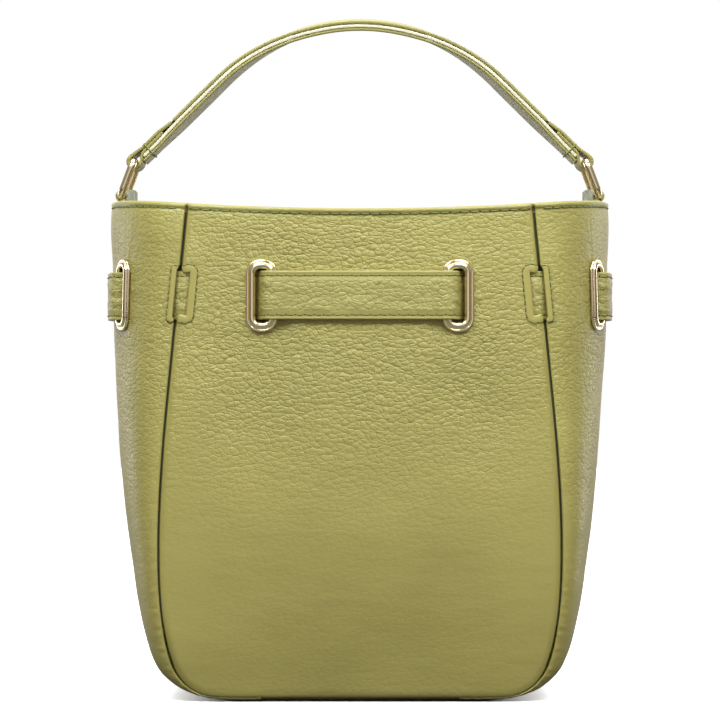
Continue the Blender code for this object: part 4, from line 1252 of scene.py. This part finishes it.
def make_keeper():
    face = float(half_depth(BELT_Z) + crown(BELT_Z) * (1 - (KEEPER_X / WINDOW_X) ** 2))
    low = face + CONTACT_GAP + 0.1
    high = face + KEEPER_LEVEL + 1.5 * BELT + 0.8 + CONTACT_GAP + KEEPER
    half_y, half_z = (high - low) / 2 - KEEPER / 2, BELT_WIDTH / 2 + 0.5 + KEEPER / 2
    loop = rounded_rectangle(half_y, half_z, 0.6, 4)
    loop = resampled(np.concatenate((loop, loop[:1])), 0.8)[:-1]
    path = np.array([(-KEEPER_X, (high + low) / 2 + a, BELT_Z + b) for a, b in loop])
    ahead = unit(np.roll(path, -1, axis=0) - np.roll(path, 1, axis=0))
    side = np.broadcast_to((1.0, 0.0, 0.0), path.shape)
    section = strap_section(KEEPER_WIDTH / 2, KEEPER, 9, edge=0.4,
                            groove=lambda x: 0.05 * x ** 2 / 4)
    rings = sweep(path, side, np.cross(ahead, side), section)
    made = lofted("keeper_loop", rings, BELT_LEATHER, closed=True)
    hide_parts("belt_keeper")


# ---- inside --------------------------------------------------------------

def lining_inset(z):
    """The lining starts behind the rim's facing and then stands clear of the leather."""
    return 1.9 + (LINING_INSET - 1.9) * fade((FACING_BOTTOM + 1.0 - z) / 10.0)


def lining_rows(end, count=70):
    return np.linspace(float(station_at(FACING_BOTTOM + 3.0)), end, count)[:, None]


def soft_lining(grid, seed, amount=0.9):
    over, down = surface_lengths(grid, 0)
    folds = soft_noise(over, down * 0.35, 13, seed) + 0.4 * soft_noise(over, down, 6, seed + 1)
    fall = fade(down / 30)
    return grid - grid_normals(grid) * ((0.6 + folds * 0.6) * amount * fall)[..., None]


def make_lining():
    rows = lining_rows(8.0)
    inset = lining_inset(inward(SEAM, rows, 0)[..., 1])
    for name, turned_back in (("front", False), ("back", True)):
        across = np.linspace(-0.985, 0.985, 90)[None]
        grid = soft_lining(panel_point(rows, across, inset), 61 + turned_back)
        sheet_piece("lining_cloth_" + name, grid, turned_back, ["lining_" + name])
    rows = lining_rows(LAST_STATION, 90)
    inset = lining_inset(inward(SEAM, rows, 0)[..., 1])
    right = gusset_point(rows, np.linspace(0.01, 0.99, 80)[None], inset)
    left = (right * (-1, 1, 1))[::-1]
    sheet_piece("lining_cloth_gusset", soft_lining(np.concatenate((right, left)), 65, 0.0), False,
                ["lining_gusset"])


def sheet_piece(name, grid, turned_back, nodes):
    """A piece of lining cloth, as a thin sheet."""
    normals = grid_normals(grid)
    back = grid - normals * LINING
    if turned_back:
        grid, back = grid * (-1, -1, 1), back * (-1, -1, 1)
    keep = np.ones((grid.shape[0] - 1, grid.shape[1] - 1), bool)
    made = thick_sheet(name, grid, back, keep, CLOTH, {}, coarse=1)
    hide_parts(*nodes)


def make_pocket():
    """A patch pocket on the back lining, with a turned hem."""
    z = np.linspace(POCKET_TOP, POCKET_BOTTOM, 60)[:, None]
    x = np.linspace(-POCKET_WIDTH / 2, POCKET_WIDTH / 2, 84)[None]
    reach = inward(SEAM, station_at(z), LINING_INSET)[..., 0]
    stand = LINING_INSET + LINING + 1.6
    hem = 0.35 * fade((z - POCKET_TOP + 9) / 1.5) + 0.7 * fade((z - POCKET_TOP + 20) / 20)
    y = half_depth(z) + crown(z) * (1 - (x / reach) ** 2) - stand - hem
    grid = np.stack(np.broadcast_arrays(x, y, z), -1)[:, ::-1]
    sheet_piece("pocket_cloth", grid, False, ["slip_pocket"])


def make_snaps():
    """Turned faces for the two halves of the magnetic snap."""
    profile = [(0.0, 0.0), (0.0, 6.0), (0.5, 6.0), (1.2, 5.6), (1.45, 4.6), (1.3, 3.2), (0.9, 2.6),
               (0.9, 1.4), (1.6, 1.2), (1.7, 0.0)]
    steps = 40
    for node, side in (("snap_socket_front", -1), ("snap_stud_back", 1)):
        low, high = (np.array(corner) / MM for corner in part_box(node))
        centre = (low + high) / 2
        start = high[1] if side > 0 else low[1]
        rings = [[(centre[0] + radius * cos(2 * pi * k / steps), start - side * height,
                   centre[2] + radius * sin(2 * pi * k / steps)) for k in range(steps)]
                 for height, radius in profile[1:-1]]
        rings = np.array(rings)
        made = lofted("turned_" + node, rings, METAL, sharp=40)
        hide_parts(node)


# ---- rings, tabs and handle ----------------------------------------------

def ring_bars():
    low = np.array((RING_X, 0.0, RING_Z))
    return low, low + np.array((-sin(RING_TILT), 0, cos(RING_TILT))) * RING_HEIGHT


def make_rings():
    low, high = ring_bars()
    middle, up = (low + high) / 2, unit(high - low)
    outline = rounded_rectangle(RING_HALF_WIDTH, RING_HEIGHT / 2, RING_CORNER, 10)
    outline = resampled(np.concatenate((outline, outline[:1])), 0.6)[:-1]
    for side, name in ((1, "right"), (-1, "left")):
        path = np.array([middle + up * rise + (0, y, 0) for y, rise in outline]) * (side, 1, 1)
        made = tube("ring_wire_" + name, path, RING_WIRE, METAL, "ring_%s_body" % name, closed=True,
                    sides=24)
        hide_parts("ring_" + name)


TAB_END_Z = 192.0           # the sewn end of a tab, inside the rim
FILLER_X, FILLER_HALF_WIDTH, FILLER_TOP = 95.5, 1.8, 208.9


def make_tabs():
    """A strip of leather folded over each ring's bar, with the raw filler beside the bar."""
    radius = RING_WIRE + 0.25 + TAB / 2
    turn = [(RING_X + radius * cos(a), RING_Z + radius * sin(a))
            for a in np.linspace(radians(-50), radians(215), 24)]
    path = [(RING_X + 0.4, TAB_END_Z), (RING_X + 0.4, TAB_FOOT_Z + 0.6)] + turn
    path += [(RING_X - 1.4, TAB_FOOT_Z + 0.6), (RING_X - 1.2, TAB_END_Z)]
    path = smoothed(resampled(path, 0.35), 3)
    ahead = unit(np.gradient(path, axis=0))
    out = np.stack((-ahead[:, 1], ahead[:, 0]), -1) * -1
    for side, name in ((1, "right"), (-1, "left")):
        centres = np.stack((path[:, 0], np.zeros(len(path)), path[:, 1]), -1) * (side, 1, 1)
        ups = np.stack((-out[:, 0], np.zeros(len(out)), -out[:, 1]), -1) * (side, 1, 1)
        sides = np.broadcast_to((0.0, 1.0, 0.0), centres.shape)
        section = strap_section(TAB_HALF_WIDTH, TAB, 20, edge=0.3)
        rings = sweep(centres, sides, ups, section)
        slots = []
        count = len(section)
        for row in range(len(path) - 1):
            slots += [1 if 24 < k < 46 else 0 for k in range(count)]
        made = lofted("tab_strap_" + name, rings, [BELT_LEATHER, FLESH], body=None,
                      slots=slots + [1, 1])
        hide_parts("tab_loop_" + name, "tab_anchor_" + name)
        bend_with_tab(made)
        low, high = TAB_FOOT_Z - 1.0, FILLER_TOP
        outline = rounded_rectangle(FILLER_HALF_WIDTH, (high - low) / 2, 0.5, 4)
        rings = np.array([[(side * (FILLER_X + x), y, (high + low) / 2 + z) for x, z in outline]
                          for y in np.linspace(-TAB_HALF_WIDTH, TAB_HALF_WIDTH, 12)])
        filler = lofted("tab_filler_" + name, rings, FILLER, body=None, sharp=40)
        bend_with_tab(filler)


def bend_with_tab(made):
    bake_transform(made)


def handle_frame():
    """Where the handle's straight flank starts, its direction down, and its outward direction."""
    centre = np.array((0.0, HANDLE_TOP_Z - HANDLE_RADIUS))
    start = centre + HANDLE_RADIUS * np.array((sin(HANDLE_SPREAD), cos(HANDLE_SPREAD)))
    down = np.array((cos(HANDLE_SPREAD), -sin(HANDLE_SPREAD)))
    out = np.array((sin(HANDLE_SPREAD), cos(HANDLE_SPREAD)))
    return centre, start, down, out


HANDLE_FLANK = float(np.dot(ring_bars()[1][[0, 2]] - handle_frame()[1], handle_frame()[2]))
HANDLE_ARC = HANDLE_RADIUS * HANDLE_SPREAD
CORE_DEPTH = HANDLE_TOP + 0.15 + HANDLE_CORE / 2


def handle_line(travel):
    """Points and outward directions of the handle's outer face, by distance from its top."""
    centre, start, down, out = handle_frame()
    side = np.where(travel < 0, -1.0, 1.0)
    reach = np.abs(travel)
    angle = np.minimum(reach, HANDLE_ARC) / HANDLE_RADIUS
    outward = np.stack((np.sin(angle), np.cos(angle)), -1)
    place = centre + HANDLE_RADIUS * outward + down * np.maximum(reach - HANDLE_ARC, 0)[:, None]
    zero = np.zeros(len(travel))
    return (np.stack((place[:, 0] * side, zero, place[:, 1]), -1),
            np.stack((outward[:, 0] * side, zero, outward[:, 1]), -1))


def handle_roll(travel):
    """The handle's slight twist: its top leans to the front, its flanks lean back."""
    reach = np.abs(travel)
    top = radians(7.5) * (1 - fade((reach - 15) / 45))
    flank = radians(-3.0) * fade((reach - 40) / 35) * (1 - fade((reach - 88) / 18))
    return top + flank


def handle_layer(travel, depth):
    """Centres and directions of a layer at a depth under the handle's outer face."""
    place, out = handle_line(travel)
    roll = handle_roll(travel)[:, None]
    front = np.array((0.0, -1.0, 0.0))
    leaning = out * np.cos(roll) + front * np.sin(roll)
    across = -front * np.cos(roll) + out * np.sin(roll)
    pivot = place - out * CORE_DEPTH
    return pivot + leaning * (CORE_DEPTH - depth)[:, None], across, leaning


def handle_strap(name, centres, across, ups, thickness, surfaces, node, bottom=False, seed=0):
    columns = 27
    section = strap_section(HANDLE_HALF_WIDTH, thickness, columns, edge=0.5)
    rings = np.repeat(section[None], len(centres), axis=0)
    along = lengths(centres)
    grid_along = np.broadcast_to(along[:, None], (len(along), columns))
    grid_across = np.broadcast_to(section[:columns, 0], grid_along.shape)
    # Past the top face the section is darker: the edge paint on the strap's cut edges, and the
    # under face with it.
    edge_paint = np.zeros((len(along), len(section)), np.float32)
    edge_paint[:, columns:] = 0.55
    grained = 0.12 * (edge_paint == 0)
    if seed:
        level, _ = grain(grid_along, grid_across, PEBBLE * 0.9, seed)
        inside = fade((HANDLE_HALF_WIDTH - 0.8 - np.abs(grid_across)) / 1.0)
        rings[:, :columns, 1] += level * 0.05 * inside
    points = sweep(centres, across, ups, rings)
    slots = None
    if bottom:
        first = columns + 8
        slots = [1 if first <= k < first + columns - 1 else 0
                 for _ in range(len(centres) - 1) for k in range(len(section))] + [0, 0]
    made = lofted(name, points, surfaces, "handle", slots=slots)
    mark_points(made, "darkening", edge_paint)
    mark_points(made, "grain", grained.astype(np.float32))
    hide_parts(node)
    return made


def wrap_path():
    """The top strap past the flank: over the ring's bar, round under it and back onto the core."""
    _, start, down, out = handle_frame()
    hub = ring_bars()[1][[0, 2]]
    middle = float(np.dot(start - hub, out)) - HANDLE_TOP / 2
    radius = RING_WIRE + CONTACT_GAP + HANDLE_TOP / 2
    doubled = middle + HANDLE_TOP
    path = []
    for back in np.linspace(WRAP_START, 0, 20)[1:]:
        rise = middle + HANDLE_TOP * float(fade((WRAP_START - back) / (WRAP_START - WRAP_FULL)))
        rise += (radius - doubled) * float(fade((7.0 - back) / 7.0))
        path.append(hub - down * back + out * rise)
    for angle in np.linspace(radians(80), radians(-90), 20):
        path.append(hub + radius * (down * cos(angle) + out * sin(angle)))
    for back, rise in ((1.6, -radius + 0.2), (3.2, -1.3), (4.6, 0.0), (6.2, middle - 0.1),
                       (9.0, middle), (WRAP_END, middle - 0.1)):
        path.append(hub - down * back + out * rise)
    return np.array(path)


def make_handle():
    reach = HANDLE_ARC + HANDLE_FLANK
    stop = reach - WRAP_START
    travel = np.linspace(-stop, stop, 300)
    centres, across, ups = handle_layer(travel, np.full(300, HANDLE_TOP / 2))
    wrap = smoothed(resampled(wrap_path(), 0.5), 3)
    tail = np.stack((wrap[:, 0], np.zeros(len(wrap)), wrap[:, 1]), -1)[1:]
    line = np.concatenate((centres[-1:], tail))
    ahead = unit(np.gradient(line, axis=0))[1:]
    tail_ups = np.cross(ahead, (0.0, 1.0, 0.0)) * -1
    _, _, down, out = handle_frame()
    from_hub = tail[:, [0, 2]] - ring_bars()[1][[0, 2]]
    facing = np.clip(tail_ups[:, [0, 2]] @ out * 3, -1, 1)
    roll = (handle_roll(reach + np.minimum(from_hub @ down, 0)) * facing)[:, None]
    level = np.broadcast_to((0.0, 1.0, 0.0), tail.shape)
    tail_across = level * np.cos(roll) + tail_ups * np.sin(roll)
    tail_ups = tail_ups * np.cos(roll) - level * np.sin(roll)
    mirror = np.array((-1.0, 1.0, 1.0))
    centres = np.concatenate(((tail * mirror)[::-1], centres, tail))
    across = np.concatenate(((tail_across * mirror)[::-1], across, tail_across))
    ups = np.concatenate(((tail_ups * mirror)[::-1], ups, tail_ups))
    top = handle_strap("handle_top_leather", centres, across, ups, HANDLE_TOP, BELT_LEATHER,
                       "handle_top_strap", seed=41)
    under_depth = HANDLE_TOP + HANDLE_CORE + 0.3 + HANDLE_UNDER / 2
    for name, depth, thickness, ends, surfaces, node, slot_name in (
            ("handle_core_edge", CORE_DEPTH, HANDLE_CORE, CORE_END, CORE, "handle_core",
             "edge_core"),
            ("handle_under_leather", under_depth, HANDLE_UNDER, UNDER_END, [BELT_LEATHER, FLESH],
             "handle_under_strap", "belt_leather")):
        travel = np.linspace(-(reach - ends), reach - ends, 320)
        layer = handle_layer(travel, np.full(320, depth))
        made = handle_strap(name, *layer, thickness, surfaces, node, bottom=surfaces is not CORE)
    make_handle_ties(reach)


def make_handle_ties(reach):
    """The thread ties that hold the layers together at the handle's two ends."""
    ties = []
    for side in (-1, 1):
        at = np.array([side * (reach - 8.0)])
        centre, _, up = (row[0] for row in handle_layer(at, np.array([CORE_DEPTH])))
        outline = rounded_rectangle(HANDLE_HALF_WIDTH + 0.15, 3.0, 0.8, 5)
        outline = resampled(np.concatenate((outline, outline[:1])), 0.6)[:-1]
        ties.append(np.array([centre + up * (b + 0.6) + np.array((0, a, 0)) for a, b in outline]))
    points, faces = [], []
    angles = np.linspace(0, 2 * pi, 8, endpoint=False)
    for path in ties:
        _, side_way, up = tube_frames(path, closed=True)
        rings = sweep(path, side_way, up, np.stack((np.cos(angles), np.sin(angles)), -1) * 0.32)
        faces += loft(rings.shape[:2], closed=True, first=sum(len(p) for p in points))
        points.append(rings.reshape(-1, 3))
    piece("handle_end_ties", np.concatenate(points), faces, THREAD_GREEN, "handle")


# ---- CAD pieces that stay ------------------------------------------------

def repaint(node, surface):
    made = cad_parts[node]
    made.data.materials.clear()
    made.data.materials.append(surface)


def make_kept_pieces():
    board = Surface("board", (0.40, 0.34, 0.26), 0.8)
    board.bump(board.noise(900, 3), 0.0001)
    board.colour(board.mix(board.noise(300, 3), (0.36, 0.30, 0.22), (0.46, 0.40, 0.31)))
    repaint("base_board", board.material)
    for where in eyelet_travels():
        repaint("washer_" + where, METAL)


# ---- studio --------------------------------------------------------------

CAMERA_PLACE, CAMERA_LENS = (0, -1.45, 0.138), 173.0
FOOTPRINT = (("X", 0.048), ("Y", 0.040))    # half-sizes of what touches the floor
SHADOW_START, SHADOW_END = 0.006, 0.042     # how far the floor's shadow reaches past it


def soft_light(name, place, aim, width, height, power, colour=(1, 1, 1)):
    data = bpy.data.lights.new(name, "AREA")
    data.shape = "RECTANGLE"
    data.size, data.size_y = width, height
    data.energy = power
    data.color = colour
    made = bpy.data.objects.new(name, data)
    bpy.context.scene.collection.objects.link(made)
    made.location = place
    made.rotation_euler = (Vector(aim) - Vector(place)).to_track_quat("-Z", "Y").to_euler()
    return made


def make_world():
    """White to the camera; for lighting, warm, and brighter above and far behind."""
    world = bpy.data.worlds.new("studio")
    bpy.context.scene.world = world
    world.use_nodes = True
    nodes, links = world.node_tree.nodes, world.node_tree.links
    nodes.clear()
    split = nodes.new("ShaderNodeSeparateXYZ")
    links.new(nodes.new("ShaderNodeTexCoord").outputs["Generated"], split.inputs[0])
    both = nodes.new("ShaderNodeMath")
    for slot, (axis, start, end, low, high) in enumerate((("Z", -0.2, 0.9, 0.06, 0.45),
                                                          ("Y", 0.70, 0.85, 0.0, 1.0))):
        ramp = nodes.new("ShaderNodeMapRange")
        for limit, value in (("From Min", start), ("From Max", end), ("To Min", low),
                             ("To Max", high)):
            ramp.inputs[limit].default_value = value
        links.new(split.outputs[axis], ramp.inputs["Value"])
        links.new(ramp.outputs["Result"], both.inputs[slot])
    lit = nodes.new("ShaderNodeBackground")
    lit.inputs["Color"].default_value = (1, 0.94, 0.87, 1)
    links.new(both.outputs[0], lit.inputs["Strength"])
    seen = nodes.new("ShaderNodeBackground")
    seen.inputs["Color"].default_value = (1, 1, 1, 1)
    mix = nodes.new("ShaderNodeMixShader")
    links.new(nodes.new("ShaderNodeLightPath").outputs["Is Camera Ray"], mix.inputs[0])
    links.new(lit.outputs[0], mix.inputs[1])
    links.new(seen.outputs[0], mix.inputs[2])
    links.new(mix.outputs[0], nodes.new("ShaderNodeOutputWorld").inputs["Surface"])


def make_floor():
    """White to the camera, but for a shadow close round the bag; dim grey for lighting it."""
    bpy.ops.mesh.primitive_plane_add(size=6, location=(0, 0, -0.0004))
    floor = bpy.context.object
    floor.name = "floor"
    white = Surface("white_floor", (0.9, 0.9, 0.9), 0.9)
    apart = white.nodes.new("ShaderNodeSeparateXYZ")
    white.link(white.place, apart.inputs[0])
    beyond = []
    for axis, half in FOOTPRINT:
        far = white.add(white.add(apart.outputs[axis], 0, "ABSOLUTE"), half, "SUBTRACT")
        far = white.add(far, 0.0, "MAXIMUM")
        beyond.append(white.add(far, far, "MULTIPLY"))
    reach = white.add(white.add(beyond[0], beyond[1]), 0.5, "POWER")
    white.link(white.ramp(reach, 0.0, 1.0, SHADOW_START, SHADOW_END),
               white.shader.inputs["Emission Strength"])
    white.shader.inputs["Emission Color"].default_value = (1, 1, 1, 1)
    dim = white.nodes.new("ShaderNodeBsdfDiffuse")
    dim.inputs["Color"].default_value = (0.14, 0.14, 0.13, 1)
    glow = white.nodes.new("ShaderNodeEmission")
    white.link(white.ramp(apart.outputs["Y"], 0.0, 0.3, -0.01, 0.1), glow.inputs["Strength"])
    grey = white.nodes.new("ShaderNodeAddShader")
    white.link(dim.outputs[0], grey.inputs[0])
    white.link(glow.outputs[0], grey.inputs[1])
    mix = white.nodes.new("ShaderNodeMixShader")
    white.link(white.nodes.new("ShaderNodeLightPath").outputs["Is Camera Ray"], mix.inputs[0])
    white.link(grey.outputs[0], mix.inputs[1])
    white.link(white.shader.outputs[0], mix.inputs[2])
    white.link(mix.outputs[0], white.nodes["Material Output"].inputs["Surface"])
    floor.data.materials.append(white.material)


def make_stage():
    make_floor()
    middle = (0, 0, 0.13)
    cool = (0.85, 1.0, 0.95)
    for side, name in ((-1, "left"), (1, "right")):
        soft_light("key_" + name, (side * 0.33, -0.5, 0.75), (0, 0, 0.19), 0.4, 0.3, 5.5, cool)
        soft_light("rim_" + name, (side * 1.3, 0.9, 0.2), (0, 0, 0.06), 0.4, 0.6, 3.5)
    soft_light("top", (0, 0.05, 1.3), middle, 0.9, 0.5, 7, cool)
    soft_light("front", (0, -2.3, 0.6), middle, 3.0, 1.0, 4.6, (1.0, 0.88, 0.80))
    make_world()


def make_camera():
    data = bpy.data.cameras.new("camera")
    data.sensor_width = 36
    data.lens = CAMERA_LENS
    data.clip_end = 20
    made = bpy.data.objects.new("camera", data)
    bpy.context.scene.collection.objects.link(made)
    made.location = CAMERA_PLACE
    made.rotation_euler = (pi / 2, 0, 0)
    bpy.context.scene.camera = made
    bpy.context.scene.view_settings.view_transform = "Standard"


make_camera()
make_panels()
make_gussets()
make_seam_shade()
make_base()
make_belt()
make_eyelets()
make_bindings()
make_buckle()
make_keeper()
make_lining()
make_pocket()
make_snaps()
make_rings()
make_tabs()
make_handle()
make_kept_pieces()
make_stage()
